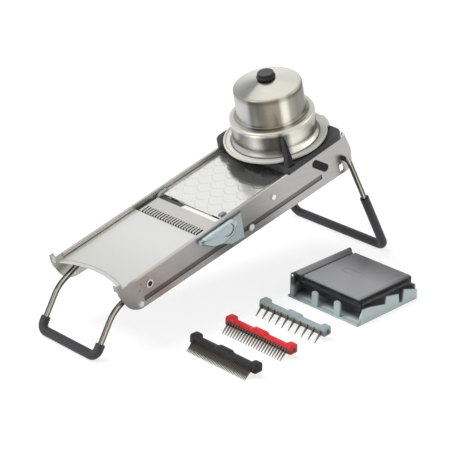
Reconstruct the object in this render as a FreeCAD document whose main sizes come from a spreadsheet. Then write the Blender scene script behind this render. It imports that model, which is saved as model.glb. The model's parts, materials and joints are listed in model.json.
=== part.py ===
import FreeCAD, Part
import math
import os
import Sketcher

# A kitchen mandoline on two folding wire legs, with a domed food pusher on a sliding
# carriage, and its loose kit: three comb inserts and their storage case.
# X runs from the front foot towards the high end, Y across the bed, Z up from the table.
# Sloping pieces are drawn flat in the bed's frame (u along the rails, v across, w square to
# the bed, zero on top of the rails) and then laid on the slope by their placement.

SIZES = [
    # the sloping bed
    ("slope", 13.6), ("rail_height", 82.2), ("front_reach", 40.4),
    ("body_width", 112.0), ("rail_length", 350.0), ("wall_sheet", 1.5),
    ("front_depth", 38.5), ("rear_depth", 50.0), ("nose_reach", 17.0), ("nose_rise", 6.5),
    ("tail_reach", 9.5), ("hem_depth", 4.0), ("hem_sheet", 1.5),
    ("nose_round", 25.0), ("nose_drop", 5.0), ("chin_reach", 7.0), ("chin_rise", 10.0),
    ("chin_back", 6.0), ("tail_round", 9.0),
    ("groove_depth", 0.9), ("groove_width", 6.5), ("groove_start", 16.0), ("groove_end", 306.0),
    # running room and fits
    ("pin_fit", 0.05), ("slide_gap", 0.4), ("side_gap", 1.0),
    # plates and blade
    ("plate_drop", 5.0), ("plate_sheet", 1.2), ("flange_depth", 14.0), ("plate_front", 9.5),
    ("scoop_radius", 119.0), ("scoop_depth", 11.0), ("blade_front", 110.5),
    ("blade_width", 37.5), ("blade_sheet", 1.6), ("blade_length", 100.0), ("bevel_width", 7.0),
    ("ridge_run", 9.5), ("ridge_pitch", 3.6), ("ridge_rise", 1.8), ("ridge_count", 25),
    ("throat_gap", 2.5), ("cradle_width", 24.0), ("cradle_sheet", 3.0), ("cradle_depth", 16.0),
    ("infeed_length", 195.0), ("ear_drop", 12.0), ("rib_place", 44.0),
    ("hinge_place", 332.0), ("hinge_drop", 13.0), ("hinge_radius", 2.5), ("hinge_block", 7.0),
    # thickness lever
    ("lever_place", 158.0), ("lever_drop", 14.0), ("shaft_radius", 4.0), ("lever_reach", 55.0),
    ("lever_sheet", 5.0), ("cam_radius", 5.2), ("cam_throw", 3.0), ("cam_lead", 40.0),
    ("cam_width", 6.0), ("cam_place", 36.0), ("bezel_rear", 14.5), ("bezel_depth", 27.0),
    ("bezel_heel", 20.0), ("bezel_toe", 41.0), ("bezel_lift", 15.0), ("bezel_nose", 26.0),
    ("paddle_belly", 24.0), ("paddle_depth", 12.0),
    # rivets, ties and ledges
    ("rivet_radius", 1.6), ("rivet_head", 3.2), ("rivet_rise", 1.8),
    ("rivet_place", 9.7), ("rivet_drop", 32.2), ("rivet_grip", 1.0),
    ("ledge_place", 224.7), ("ledge_drop", 16.5),
    ("ledge_length", 95.0), ("ledge_width", 6.0), ("ledge_height", 5.0),
    ("tie_place", 184.0), ("tie_drop", 34.2), ("tie_radius", 3.0), ("stop_hole", 7.0),
    ("stop_height", 10.0),
    # lock button in the near wall
    ("button_place", 306.0), ("button_drop", 19.8), ("button_length", 31.0),
    ("button_height", 10.0), ("button_tilt", 42.0), ("button_rise", 0.4), ("button_flange", 2.0),
    # carriage
    ("carriage_front", 250.0), ("carriage_length", 96.5), ("dome_setback", 44.5),
    ("carriage_thick", 9.4), ("carriage_lip", 7.0), ("lip_bevel", 2.6), ("guide_depth", 2.4),
    ("guide_sheet", 2.0), ("carriage_round", 14.0), ("mouth_radius", 46.5),
    ("fin_height", 42.0), ("fin_root", 6.0), ("fin_tip", 2.0), ("fin_sheet", 4.5),
    ("fin_inset", 4.4), ("fin_foot", 12.0), ("fin_foot_height", 9.0), ("fin_foot_sheet", 3.6),
    # dome and its ring
    ("ring_radius", 62.0), ("ring_sheet", 2.0), ("ring_hub", 6.0), ("ring_lip", 1.6),
    ("ring_tab", 3.4), ("ring_tab_width", 24.0), ("ring_tab_turn", 30.0), ("dome_sheet", 1.2),
    ("skirt_radius", 49.5), ("skirt_flare", 4.0), ("step_radius", 51.0), ("step_lip", 1.5),
    ("step_height", 44.0),
    ("crown_radius", 40.5), ("crown_height", 84.0), ("crown_rise", 6.0), ("crown_round", 9.0),
    # pusher
    ("rod_radius", 4.0), ("knob_radius", 11.2), ("knob_top", 9.8), ("knob_skirt", 2.6),
    ("knob_height", 6.6), ("food_plate_radius", 33.0), ("food_plate_thick", 4.0),
    ("food_plate_level", 16.0), ("spike_radius", 1.2), ("spike_length", 8.0),
    ("spike_ring", 20.0),
    # wire legs
    ("wire_radius", 3.3), ("sleeve_radius", 5.5), ("foot_flat", 0.4), ("cap_radius", 4.6),
    ("cap_sheet", 1.2), ("front_pivot", 26.5), ("front_pivot_drop", 14.5), ("front_inset", 10.4),
    ("elbow_reach", 25.9), ("elbow_height", 49.5), ("front_bend", 38.0), ("corner_bend", 9.0),
    ("stub_bend", 6.5),
    ("front_sleeve", 15.0), ("rear_pivot", 344.7), ("rear_pivot_drop", 30.2),
    ("rear_reach", 445.9), ("rear_outset", 19.0), ("rear_elbow", 8.5), ("rear_sleeve", 82.0),
    # comb inserts
    ("insert_place", 100.5), ("insert_step", 58.0), ("insert_row", 142.0), ("insert_shift", 3.1),
    ("bar_length", 79.0), ("bar_width", 9.0), ("bar_height", 8.5), ("bar_lift", 6.0),
    ("block_length", 11.0), ("block_width", 12.0), ("block_height", 11.0), ("block_drop", 0.5),
    ("block_round", 1.4), ("block_hole", 1.6), ("heel_width", 3.5),
    ("pad_length", 20.0), ("pad_rise", 2.5), ("comb_sheet", 1.0), ("comb_root", 4.0),
    ("comb_height", 10.2), ("comb_slope", 45.0), ("comb_length", 95.0),
    ("tooth_length", 14.0), ("tooth_root", 4.2), ("tooth_tip", 0.3),
    ("fine_pitch", 2.0), ("medium_pitch", 4.0), ("coarse_pitch", 10.0),
    ("fine_count", 45), ("medium_count", 23), ("coarse_count", 10),
    ("fine_tooth", 0.6), ("medium_tooth", 0.8), ("coarse_tooth", 1.0),
    # storage case
    ("case_place", 265.9), ("case_row", 134.5), ("case_length", 105.0), ("case_width", 107.0),
    ("case_sheet", 2.5), ("case_wall", 18.0), ("case_step", 3.0), ("tab_width", 9.0),
    ("tab_height", 20.0), ("tab_far", 13.0), ("tab_near", 21.0), ("tab_round", 3.5),
    ("lid_front", 5.0), ("lid_inset", 8.0), ("lid_level", 22.0), ("lid_thick", 10.0),
    ("lid_edge", 1.5), ("lid_wall", 3.0), ("skirt_depth", 8.0), ("pin_inset", 5.5),
    ("pin_height", 29.0), ("barrel_radius", 4.6), ("pin_radius", 1.5), ("ear_width", 4.0),
    ("ear_radius", 3.0), ("mark_length", 26.0), ("mark_width", 16.0), ("mark_depth", 0.4),
]

doc = FreeCAD.newDocument("Mandoline")
sheet = doc.addObject("Spreadsheet::Sheet", "Sizes")
for row, (alias, number) in enumerate(SIZES, start=1):
    sheet.set("A%d" % row, alias)
    sheet.set("B%d" % row, str(number))
    sheet.setAlias("B%d" % row, alias)
doc.recompute()


class Size:
    """A length with its number and the sheet expression that gives it."""

    def __init__(self, number, text):
        self.number = number
        self.text = text

    def join(self, other, sign, number):
        return Size(number, "(%s %s %s)" % (self.text, sign, other.text))

    def __add__(self, other):
        other = as_size(other)
        return self.join(other, "+", self.number + other.number)

    def __sub__(self, other):
        other = as_size(other)
        return self.join(other, "-", self.number - other.number)

    def __mul__(self, other):
        other = as_size(other)
        return self.join(other, "*", self.number * other.number)

    def __truediv__(self, other):
        other = as_size(other)
        return self.join(other, "/", self.number / other.number)

    def __neg__(self):
        return Size(-self.number, "(0 - %s)" % self.text)

    def __radd__(self, other):
        return as_size(other) + self

    def __rsub__(self, other):
        return as_size(other) - self

    def __rmul__(self, other):
        return as_size(other) * self


def as_size(value):
    return value if isinstance(value, Size) else Size(float(value), repr(float(value)))


def cosine(angle):
    return Size(math.cos(math.radians(angle.number)), "cos(%s * 1 deg)" % angle.text)


def sine(angle):
    return Size(math.sin(math.radians(angle.number)), "sin(%s * 1 deg)" % angle.text)


class Sizes:
    """The sheet's cells by name."""

    def __getattr__(self, name):
        return Size(float(sheet.get(name)), "Sizes.%s" % name)


D = Sizes()
parts = []


def bind(thing, path, size):
    thing.setExpression(path, as_size(size).text)


def new_body(label):
    body = doc.addObject("PartDesign::Body", label)
    body.Label = label
    body.AllowCompound = True
    parts.append(body)
    return body


def origin_part(body, role):
    return [f for f in body.Origin.OriginFeatures if f.Role == role][0]


def draw_circle(sketch, centre_x, centre_y, radius):
    centre = FreeCAD.Vector(centre_x.number, centre_y.number, 0)
    circle = Part.Circle(centre, FreeCAD.Vector(0, 0, 1), radius.number)
    index = sketch.addGeometry(circle, False)
    dims = [("DistanceX", (-1, 1, index, 3, centre_x.number), centre_x),
            ("DistanceY", (-1, 1, index, 3, centre_y.number), centre_y),
            ("Radius", (index, radius.number), radius)]
    for kind, values, size in dims:
        number = sketch.addConstraint(Sketcher.Constraint(kind, *values))
        bind(sketch, "Constraints[%d]" % number, size)


def draw_polygon(sketch, points):
    corners = [FreeCAD.Vector(x.number, y.number, 0) for x, y in points]
    count = len(corners)
    first = [sketch.addGeometry(Part.LineSegment(corners[i], corners[(i + 1) % count]), False)
             for i in range(count)]
    for i, (x, y) in enumerate(points):
        sketch.addConstraint(
            Sketcher.Constraint("Coincident", first[i], 2, first[(i + 1) % count], 1))
        for kind, size in (("DistanceX", x), ("DistanceY", y)):
            number = sketch.addConstraint(
                Sketcher.Constraint(kind, -1, 1, first[i], 1, size.number))
            bind(sketch, "Constraints[%d]" % number, size)


def draw(body, plane, loops, level):
    """A sketch on one of the body's own planes; a loop is a polygon or (x, y, radius)."""
    sketch = body.newObject("Sketcher::SketchObject", "Outline")
    sketch.AttachmentSupport = [(origin_part(body, plane), "")]
    sketch.MapMode = "FlatFace"
    bind(sketch, "AttachmentOffset.Base.z", level)
    for loop in loops:
        if isinstance(loop, tuple):
            draw_circle(sketch, *[as_size(value) for value in loop])
        else:
            draw_polygon(sketch, [(as_size(x), as_size(y)) for x, y in loop])
    return sketch


def add(body, plane, loops, low, high):
    """A prism between two levels; the XZ plane's own normal points to -Y."""
    low, high = as_size(low), as_size(high)
    pad = body.newObject("PartDesign::Pad", "Prism")
    pad.Profile = draw(body, plane, loops, -high if plane == "XZ_Plane" else low)
    bind(pad, "Length", high - low)
    body.Tip = pad
    return pad


def cut(body, plane, loops, low, high):
    """A prism taken away between two levels."""
    low, high = as_size(low), as_size(high)
    pocket = body.newObject("PartDesign::Pocket", "Opening")
    pocket.Profile = draw(body, plane, loops, -low if plane == "XZ_Plane" else high)
    bind(pocket, "Length", high - low)
    body.Tip = pocket
    return pocket


def turn(body, points):
    """A solid of revolution about the body's Z axis from (radius, level) points."""
    sketch = draw(body, "XZ_Plane", [points], 0)
    spin = body.newObject("PartDesign::Revolution", "Turned")
    spin.Profile = sketch
    spin.ReferenceAxis = (sketch, ["V_Axis"])
    spin.Angle = 360
    body.Tip = spin
    return spin


def repeat(body, feature, axis, pitch, count):
    pattern = body.newObject("PartDesign::LinearPattern", "Row")
    pattern.Originals = [feature]
    pattern.Direction = (origin_part(body, axis), [""])
    bind(pattern, "Length", pitch * (count - 1))
    bind(pattern, "Occurrences", count)
    body.Tip = pattern
    return pattern


def along(edge, axis):
    """True for a straight edge that runs along one axis of its body."""
    if not isinstance(edge.Curve, Part.Line):
        return False
    return abs(abs(edge.Curve.Direction.dot(axis)) - 1) < 1e-6


def round_off(body, radius, wanted):
    """Rounds the edges of the body so far that the function wanted picks."""
    doc.recompute()
    base = body.Tip
    names = ["Edge%d" % (i + 1) for i, edge in enumerate(base.Shape.Edges) if wanted(edge)]
    fillet = body.newObject("PartDesign::Fillet", "Rounded")
    fillet.Base = (base, names)
    bind(fillet, "Radius", radius)
    body.Tip = fillet
    return fillet


def box(x_low, x_high, y_low, y_high):
    return [(x_low, y_low), (x_high, y_low), (x_high, y_high), (x_low, y_high)]


X_AXIS = FreeCAD.Vector(1, 0, 0)
Y_AXIS = FreeCAD.Vector(0, 1, 0)
Z_AXIS = FreeCAD.Vector(0, 0, 1)


def lay(body, x, y, z, tilt=None):
    """Stands a body at a point, tipped up towards +X by the angle tilt."""
    body.Placement = FreeCAD.Placement(FreeCAD.Vector(), FreeCAD.Rotation(-Y_AXIS, 10))
    bind(body, "Placement.Base.x", x)
    bind(body, "Placement.Base.y", y)
    bind(body, "Placement.Base.z", z)
    body.setExpression("Placement.Rotation.Angle", "%s * 1 deg" % as_size(tilt or 0).text)


def lay_on_bed(body, place=0):
    place = as_size(place)
    lay(body, D.front_reach + place * cosine(D.slope), 0,
        D.rail_height + place * sine(D.slope), D.slope)


half_width = D.body_width / 2
inner = half_width - D.wall_sheet
plate_low = -D.plate_drop - D.plate_sheet
blade_low = -D.plate_drop - D.blade_sheet
blade_rear = D.blade_front + D.blade_width
infeed_front = blade_rear + D.throat_gap
infeed_rear = infeed_front + D.infeed_length
carriage_low = D.slide_gap
dome_place = D.carriage_front + D.dome_setback
carriage_top = carriage_low + D.carriage_thick
ring_low = carriage_top + D.slide_gap
ring_top = ring_low + D.ring_sheet
crown_top = D.crown_height + D.crown_rise
opening_top = -D.hem_depth - D.slide_gap


# Side walls: tapered steel sheets with a hemmed top rail, a hooked nose, a stop tip at the
# high end, a long pressed groove and the holes for pivots, rivets and the stop slot.
def lever_panel(gap):
    """Outline of the grey panel in the near wall, drawn in by a gap all round."""
    rear = D.lever_place + D.bezel_rear
    front = D.lever_place - D.lever_reach
    low = -D.lever_drop - D.bezel_depth
    return [(front + gap * 3, opening_top - gap), (rear - gap, opening_top - gap),
            (rear - gap, low + gap), (rear - D.bezel_heel + gap, low + 2.5 + gap),
            (rear - D.bezel_toe, low + D.bezel_lift + gap),
            (front + 9 + gap, low + D.bezel_nose + gap)]


def tilted_oval(length, height):
    """Corners of the button's outline about its own centre."""
    along_x, along_y = cosine(D.button_tilt), -sine(D.button_tilt)
    corners = []
    for a, b in ((-1, -1), (1, -1), (1, 1), (-1, 1)):
        a, b = length * (a / 2), height * (b / 2)
        corners.append((D.button_place + a * along_x - b * along_y,
                        a * along_y + b * along_x - D.button_drop))
    return corners


def side_wall(label, near):
    wall = new_body(label)
    low, high = (-half_width, -inner) if near else (inner, half_width)
    end = D.rail_length
    tail = end + D.tail_reach
    add(wall, "XZ_Plane", [[
        (-D.nose_reach, D.nose_rise), (5.5 - D.nose_reach, D.nose_rise),
        (7 - D.nose_reach, 0), (end - 2.5, 0), (end - 0.5, 3.5), (end + 2, 0),
        (tail, 0 - D.rear_depth / 2), (tail - 1, 8 - D.rear_depth), (end + 2, -D.rear_depth),
        (D.chin_back, -D.front_depth), (-D.chin_reach, D.chin_rise - D.front_depth),
        (-D.nose_reach, -D.nose_drop)]], low, high)
    round_off(wall, D.nose_round, lambda e: along(e, Y_AXIS) and e.CenterOfMass.z < -4
              and e.CenterOfMass.x < end.number / 2)
    round_off(wall, D.tail_round, lambda e: along(e, Y_AXIS) and e.CenterOfMass.z < -4
              and e.CenterOfMass.x > end.number / 2)
    hem_low, hem_high = (-inner, D.hem_sheet - inner) if near else (inner - D.hem_sheet, inner)
    add(wall, "XZ_Plane", [box(0, end - 6, -D.hem_depth, 0)], hem_low, hem_high)
    curl_low, curl_high = (-inner, 6 - inner) if near else (inner - 6, inner)
    add(wall, "XZ_Plane", [box(1 - D.nose_reach, 2.2 - D.nose_reach, -2, D.nose_rise - 1)],
        curl_low, curl_high)
    outside = -half_width if near else half_width - D.groove_depth
    middle = D.groove_depth - half_width if near else half_width
    start_low = -D.front_depth + 6.5
    end_low = -D.rear_depth + 12
    cut(wall, "XZ_Plane", [[(D.groove_start, start_low), (D.groove_end, end_low),
                            (D.groove_end, end_low + D.groove_width),
                            (D.groove_start, start_low + D.groove_width)]], outside, middle)
    wire_hole = D.wire_radius + D.pin_fit
    rivet_hole = D.rivet_radius + D.pin_fit
    holes = [(D.front_pivot, -D.front_pivot_drop, wire_hole),
             (D.rear_pivot, -D.rear_pivot_drop, wire_hole),
             (D.rivet_place, -D.rivet_drop, rivet_hole),
             (D.ledge_place, -D.ledge_drop, rivet_hole),
             (D.tie_place, -D.tie_drop, D.tie_radius + D.pin_fit),
             (15.4, -9.3, 0.9), (11.6, -15.7, 0.9)]
    slot_rear = D.rear_pivot - 1
    holes.append(box(slot_rear - D.stop_hole, slot_rear, 4 - D.rear_depth,
                     4 + D.stop_height - D.rear_depth))
    if near:
        holes.append(lever_panel(as_size(0)))
        holes.append(tilted_oval(D.button_length, D.button_height))
    else:
        holes.append((D.lever_place, -D.lever_drop, D.shaft_radius + D.pin_fit))
    cut(wall, "XZ_Plane", holes, low - 1, high + 1)
    if near:
        centre = FreeCAD.Vector(D.button_place.number, 0, -D.button_drop.number)
        reach = math.hypot(D.button_length.number, D.button_height.number) / 2

        def oval_corner(edge):
            offset = edge.CenterOfMass - centre
            offset.y = 0
            return along(edge, Y_AXIS) and abs(offset.Length - reach) < 0.2

        round_off(wall, D.button_height / 2 - 0.05, oval_corner)
    lay_on_bed(wall)


side_wall("near_side_wall", True)
side_wall("far_side_wall", False)

# Output plate: the steel tray in front of the blade, scooped at its front edge and riveted
# to both walls through turned-down flanges.
plate = new_body("output_plate")
plate_rear = D.blade_front - D.slide_gap
add(plate, "XY_Plane", [box(-D.plate_front, plate_rear, -inner, inner)], plate_low, -D.plate_drop)
flange_front = D.front_pivot + D.cap_radius + 3
for low, high in ((-inner, D.plate_sheet - inner), (inner - D.plate_sheet, inner)):
    add(plate, "XZ_Plane", [box(flange_front, D.lever_place - D.lever_reach - 2,
                                -D.plate_drop - D.flange_depth, plate_low)], low, high)
cut(plate, "XY_Plane", [(D.scoop_depth - D.plate_front - D.scoop_radius, 0, D.scoop_radius)],
    plate_low - 1, 1 - D.plate_drop)
lay_on_bed(plate)

# Slicing blade: a flat steel strip with a ground straight edge at the throat and a
# corrugated edge towards the front.
blade = new_body("slicing_blade")
half_blade = D.blade_length / 2
ridge_rear = D.blade_front + D.ridge_run
add(blade, "XZ_Plane", [[(D.blade_front, blade_low), (blade_rear, blade_low),
                         (blade_rear, blade_low + 0.2), (blade_rear - D.bevel_width, -D.plate_drop),
                         (D.blade_front, -D.plate_drop)]], -half_blade, half_blade)
first_ridge = -D.ridge_pitch * (D.ridge_count - 1) / 2
ridge_half = D.ridge_pitch * 0.32
ridge = add(blade, "YZ_Plane", [[(first_ridge - ridge_half, -D.plate_drop),
                                 (first_ridge + ridge_half, -D.plate_drop),
                                 (first_ridge + ridge_half / 2, D.ridge_rise - D.plate_drop),
                                 (first_ridge - ridge_half / 2, D.ridge_rise - D.plate_drop)]],
            D.blade_front, ridge_rear)
repeat(blade, ridge, "Y_Axis", D.ridge_pitch, D.ridge_count)
lay_on_bed(blade)

# Blade cradle: the plastic bridge between the walls that the blade lies on.
cradle = new_body("blade_cradle")
cradle_front = D.blade_front + 2
cradle_rear = cradle_front + D.cradle_width
add(cradle, "XY_Plane", [box(cradle_front, cradle_rear, -inner, inner)],
    blade_low - D.cradle_sheet, blade_low)
for low, high in ((-inner, 5 - inner), (inner - 5, inner)):
    add(cradle, "XZ_Plane", [box(cradle_front, cradle_rear, blade_low - D.cradle_depth,
                                 blade_low - D.cradle_sheet)], low, high)
lay_on_bed(cradle)

# Infeed plate: the steel plate above the throat, tilted by the lever about a pin at its rear.
infeed = new_body("infeed_plate")
infeed_half = inner - D.side_gap
rib_low = plate_low - 3
ear_low = -D.plate_drop - D.ear_drop
add(infeed, "XY_Plane", [box(infeed_front, infeed_rear, -infeed_half, infeed_half)],
    plate_low, -D.plate_drop)
for low, high in ((-D.rib_place, D.plate_sheet - D.rib_place),
                  (D.rib_place - D.plate_sheet, D.rib_place)):
    add(infeed, "XZ_Plane", [[(infeed_front + 22, plate_low), (infeed_front + 22, rib_low),
                              (D.hinge_place - 10, rib_low), (D.hinge_place - 6, ear_low),
                              (D.hinge_place + 6, ear_low), (D.hinge_place + 6, plate_low)]],
        low, high)
cut(infeed, "XZ_Plane", [(D.hinge_place, -D.hinge_drop, D.hinge_radius + D.pin_fit)],
    -half_width, half_width)
cut(infeed, "XY_Plane", [box(infeed_front + 4, infeed_front + 12, 1.5 - infeed_half,
                             5.5 - infeed_half)], plate_low - 1, 1 - D.plate_drop)
lay_on_bed(infeed)

# Infeed pin and the two blocks inside the walls that carry it.
hinge_inner = inner - D.hinge_block
pin = new_body("infeed_hinge_pin")
add(pin, "XZ_Plane", [(D.hinge_place, -D.hinge_drop, D.hinge_radius)],
    D.slide_gap - inner, inner - D.slide_gap)
lay_on_bed(pin)
blocks = new_body("infeed_hinge_blocks")
for low, high in ((-inner, -hinge_inner), (hinge_inner, inner)):
    add(blocks, "XZ_Plane", [box(D.hinge_place - 6, D.hinge_place + 6, -D.hinge_drop - 6,
                                 D.hinge_radius + 1.5 - D.hinge_drop)], low, high)
cut(blocks, "XZ_Plane", [(D.hinge_place, -D.hinge_drop, D.hinge_radius + D.pin_fit)],
    -half_width, half_width)
lay_on_bed(blocks)

# Rail ledges: plastic strips riveted inside both walls below the infeed plate.
ledges = new_body("rail_ledges")
ledge_front = D.ledge_place - D.ledge_length / 3
ledge_top = -D.ledge_drop + D.ledge_height / 2
for low, high in ((-inner, D.ledge_width - inner), (inner - D.ledge_width, inner)):
    add(ledges, "XZ_Plane", [box(ledge_front, ledge_front + D.ledge_length,
                                 ledge_top - D.ledge_height, ledge_top)], low, high)
cut(ledges, "XZ_Plane", [(D.ledge_place, -D.ledge_drop, D.rivet_radius + D.pin_fit)],
    -half_width, half_width)
lay_on_bed(ledges)

# Wall rivets: a domed head outside each wall and a shank into the flange or ledge.
rivets = new_body("wall_rivets")
seats = ((D.rivet_place, -D.rivet_drop, D.rivet_grip),
         (D.ledge_place, -D.ledge_drop, D.ledge_width))
for place, level, grip in seats:
    reach = inner - grip
    add(rivets, "XZ_Plane", [(place, level, D.rivet_head)], -half_width - D.rivet_rise, -half_width)
    add(rivets, "XZ_Plane", [(place, level, D.rivet_radius)], -half_width, -reach)
    add(rivets, "XZ_Plane", [(place, level, D.rivet_head)], half_width, half_width + D.rivet_rise)
    add(rivets, "XZ_Plane", [(place, level, D.rivet_radius)], reach, half_width)
lay_on_bed(rivets)

# Tie rod: holds the walls apart under the infeed plate, its ends peened outside them.
tie = new_body("cross_tie_rod")
add(tie, "XZ_Plane", [(D.tie_place, -D.tie_drop, D.tie_radius)],
    -half_width - D.rivet_rise, half_width + D.rivet_rise)
for low, high in ((-half_width - D.rivet_rise, -half_width),
                  (half_width, half_width + D.rivet_rise)):
    add(tie, "XZ_Plane", [(D.tie_place, -D.tie_drop, D.tie_radius + 1)], low, high)
lay_on_bed(tie)

# Lever panel: the grey plastic plate that fills the near wall's opening and bears the shaft.
bezel = new_body("lever_panel")
add(bezel, "XZ_Plane", [lever_panel(D.slide_gap / 8)], -half_width, -inner)
boss = D.shaft_radius + 3
add(bezel, "XZ_Plane", [(D.lever_place, -D.lever_drop - 1, boss)], -inner, 5 - inner)
bore = (D.lever_place, -D.lever_drop, D.shaft_radius + D.pin_fit)
cut(bezel, "XZ_Plane", [bore], -half_width - 1, 6 - inner)
cut(bezel, "XZ_Plane", [box(D.lever_place - boss, D.lever_place + boss, plate_low - 3.4, 0)],
    -inner, 6 - inner)
lay_on_bed(bezel)

# Far shaft block: the grey hook inside the far wall that bears the shaft's other end.
hook = new_body("far_shaft_block")
block_top = -D.guide_depth - D.slide_gap
add(hook, "XZ_Plane", [[(D.lever_place - 20, -D.lever_drop - 6),
                        (D.lever_place + 7, -D.lever_drop - 6),
                        (D.lever_place + 7, plate_low - 3.4), (infeed_front - 1, plate_low - 3.4),
                        (infeed_front - 1, block_top), (infeed_front - 6, block_top),
                        (D.lever_place - 20, -6)]], half_blade + D.slide_gap, inner - D.hem_sheet)
add(hook, "XZ_Plane", [box(D.lever_place - 18, D.lever_place + 5, -D.lever_drop - 5,
                           plate_low - 4)], inner - D.hem_sheet, inner)
cut(hook, "XZ_Plane", [bore], 0, half_width)
lay_on_bed(hook)

# Thickness lever: a grey half-moon paddle outside the near wall, on the cross shaft.
lever = new_body("thickness_lever")
paddle_high = -half_width - D.slide_gap
tip = D.lever_place - D.lever_reach
lever_top = opening_top - D.slide_gap
add(lever, "XZ_Plane", [[(tip + 1, lever_top - 0.5), (D.lever_place, lever_top),
                         (D.lever_place + 7, -D.lever_drop + 2),
                         (D.lever_place + 5, -D.lever_drop - 6),
                         (D.lever_place - 6, -D.lever_drop - 11),
                         (D.lever_place - D.paddle_belly, -D.lever_drop - D.paddle_depth),
                         (tip + 12, -D.lever_drop - 2), (tip + 2, lever_top - 5)]],
    paddle_high - D.lever_sheet, paddle_high)
round_off(lever, 3, lambda e: along(e, Y_AXIS) and e.CenterOfMass.x > tip.number + 4)
cut(lever, "XZ_Plane", [(D.lever_place, -D.lever_drop, D.shaft_radius)],
    paddle_high - D.lever_sheet / 2, half_width)
lay_on_bed(lever)

# Lever shaft: runs across the bed from the paddle to the far wall.
shaft = new_body("lever_shaft")
add(shaft, "XZ_Plane", [(D.lever_place, -D.lever_drop, D.shaft_radius)],
    paddle_high - D.lever_sheet / 2, half_width - D.slide_gap)
lay_on_bed(shaft)

# Lever cams: two eccentric discs on the shaft that carry the infeed plate's front end.
cams = new_body("lever_cams")
lobe_x = D.lever_place - D.cam_throw * sine(D.cam_lead)
lobe_z = D.cam_throw * cosine(D.cam_lead) - D.lever_drop
for low in (-D.cam_place, D.cam_place - D.cam_width):
    add(cams, "XZ_Plane", [(lobe_x, lobe_z, D.cam_radius)], low, low + D.cam_width)
    add(cams, "XZ_Plane", [(D.lever_place, -D.lever_drop, D.shaft_radius + 0.6)], low,
        low + D.cam_width)
cut(cams, "XZ_Plane", [(D.lever_place, -D.lever_drop, D.shaft_radius)], -half_width, half_width)
lay_on_bed(cams)

# Lock button: a black oval that is pressed into the near wall, with a rim behind the sheet.
button = new_body("lock_button")
add(button, "XZ_Plane", [tilted_oval(D.button_length - D.slide_gap * 2,
                                     D.button_height - D.slide_gap * 2)],
    -half_width - D.button_rise, D.slide_gap - inner)
round_off(button, D.button_height / 2 - D.slide_gap - 0.05, lambda e: along(e, Y_AXIS))
add(button, "XZ_Plane", [tilted_oval(D.button_length + 1, D.button_height + 1)],
    D.slide_gap - inner, D.slide_gap + D.button_flange - inner)
flange_face = (D.slide_gap - inner).number
round_off(button, D.button_height / 2 + 0.45, lambda e: along(e, Y_AXIS)
          and e.CenterOfMass.y > flange_face + 0.1)
lay_on_bed(button)

# Carriage: the black plate that rides on the rails and reaches past both walls, with guide ribs
# between the rails and a round mouth that the food passes through.
carriage = new_body("carriage_plate")
carriage_half = half_width + D.slide_gap + D.carriage_lip
carriage_front = D.carriage_front
carriage_rear = carriage_front + D.carriage_length
add(carriage, "XY_Plane", [box(carriage_front, carriage_rear, -carriage_half, carriage_half)],
    carriage_low, carriage_top)
guide_out = inner - D.hem_sheet - D.slide_gap
guide_ends = D.carriage_round + 2
for low, high in ((-guide_out, D.guide_sheet - guide_out), (guide_out - D.guide_sheet, guide_out)):
    add(carriage, "XY_Plane", [box(carriage_front + guide_ends, carriage_rear - guide_ends,
                                   low, high)], -D.guide_depth, carriage_low)
round_off(carriage, D.carriage_round,
          lambda e: along(e, Z_AXIS) and e.CenterOfMass.z > carriage_low.number
          and (e.CenterOfMass.x > dome_place.number or e.CenterOfMass.y > 0))
cut(carriage, "XY_Plane", [(dome_place, 0, D.mouth_radius)], carriage_low - 1, carriage_top + 1)
bevels = [[(side * (carriage_half + 0.2), carriage_low - 0.2),
           (side * (carriage_half - D.lip_bevel), carriage_low - 0.2),
           (side * (carriage_half + 0.2), carriage_low + D.lip_bevel)] for side in (-1, 1)]
cut(carriage, "YZ_Plane", bevels, carriage_front - 1, carriage_rear + 1)
round_off(carriage, 1.2, lambda e: e.CenterOfMass.z > carriage_top.number - 0.01
          and e.BoundBox.YLength > 0.1 and not isinstance(e.Curve, Part.Circle))
lay_on_bed(carriage)

# Carriage fin: the tapered thumb rest on a spread foot that stands at the carriage's near front corner.
fin = new_body("carriage_fin")
fin_x = carriage_front + D.fin_root / 2 + 0.5
fin_y = D.fin_inset - carriage_half
add(fin, "XZ_Plane", [[(fin_x - D.fin_root / 2, carriage_top), (fin_x + D.fin_root / 2, carriage_top),
                       (fin_x + D.fin_tip / 2, carriage_top + D.fin_height),
                       (fin_x - D.fin_tip / 2, carriage_top + D.fin_height)]],
    fin_y, fin_y + D.fin_sheet)
fin_front = carriage_front + 0.5
add(fin, "XZ_Plane", [[(fin_front, carriage_top), (fin_front + D.fin_foot, carriage_top),
                       (fin_front + D.fin_root, carriage_top + D.fin_foot_height),
                       (fin_x, carriage_top + D.fin_foot_height)]],
    fin_y + 0.6 - D.fin_foot_sheet, fin_y + 0.6)
lay_on_bed(fin)

# Dome ring: the pale flange that turns in the carriage's mouth, with a thumb tab.
ring = new_body("dome_flange_ring")
hub_outer = D.mouth_radius - D.slide_gap
hub_inner = hub_outer - D.ring_sheet
turn(ring, [(hub_inner, ring_low - D.ring_hub), (hub_outer, ring_low - D.ring_hub),
            (hub_outer, ring_low), (D.ring_radius, ring_low),
            (D.ring_radius, ring_top + D.ring_lip), (D.ring_radius - 2, ring_top + D.ring_lip),
            (D.ring_radius - 3.5, ring_top), (hub_inner, ring_top)])
tab_x, tab_y = cosine(D.ring_tab_turn), -sine(D.ring_tab_turn)
tab_root, tab_end = D.ring_radius - 5, D.ring_radius + D.ring_tab
tab_corners = box(tab_root, tab_end, -D.ring_tab_width / 2, D.ring_tab_width / 2)
add(ring, "XY_Plane", [[(a * tab_x - b * tab_y, a * tab_y + b * tab_x) for a, b in tab_corners]],
    ring_low, ring_top)
tab_radius = math.hypot(tab_end.number, D.ring_tab_width.number / 2)
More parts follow.
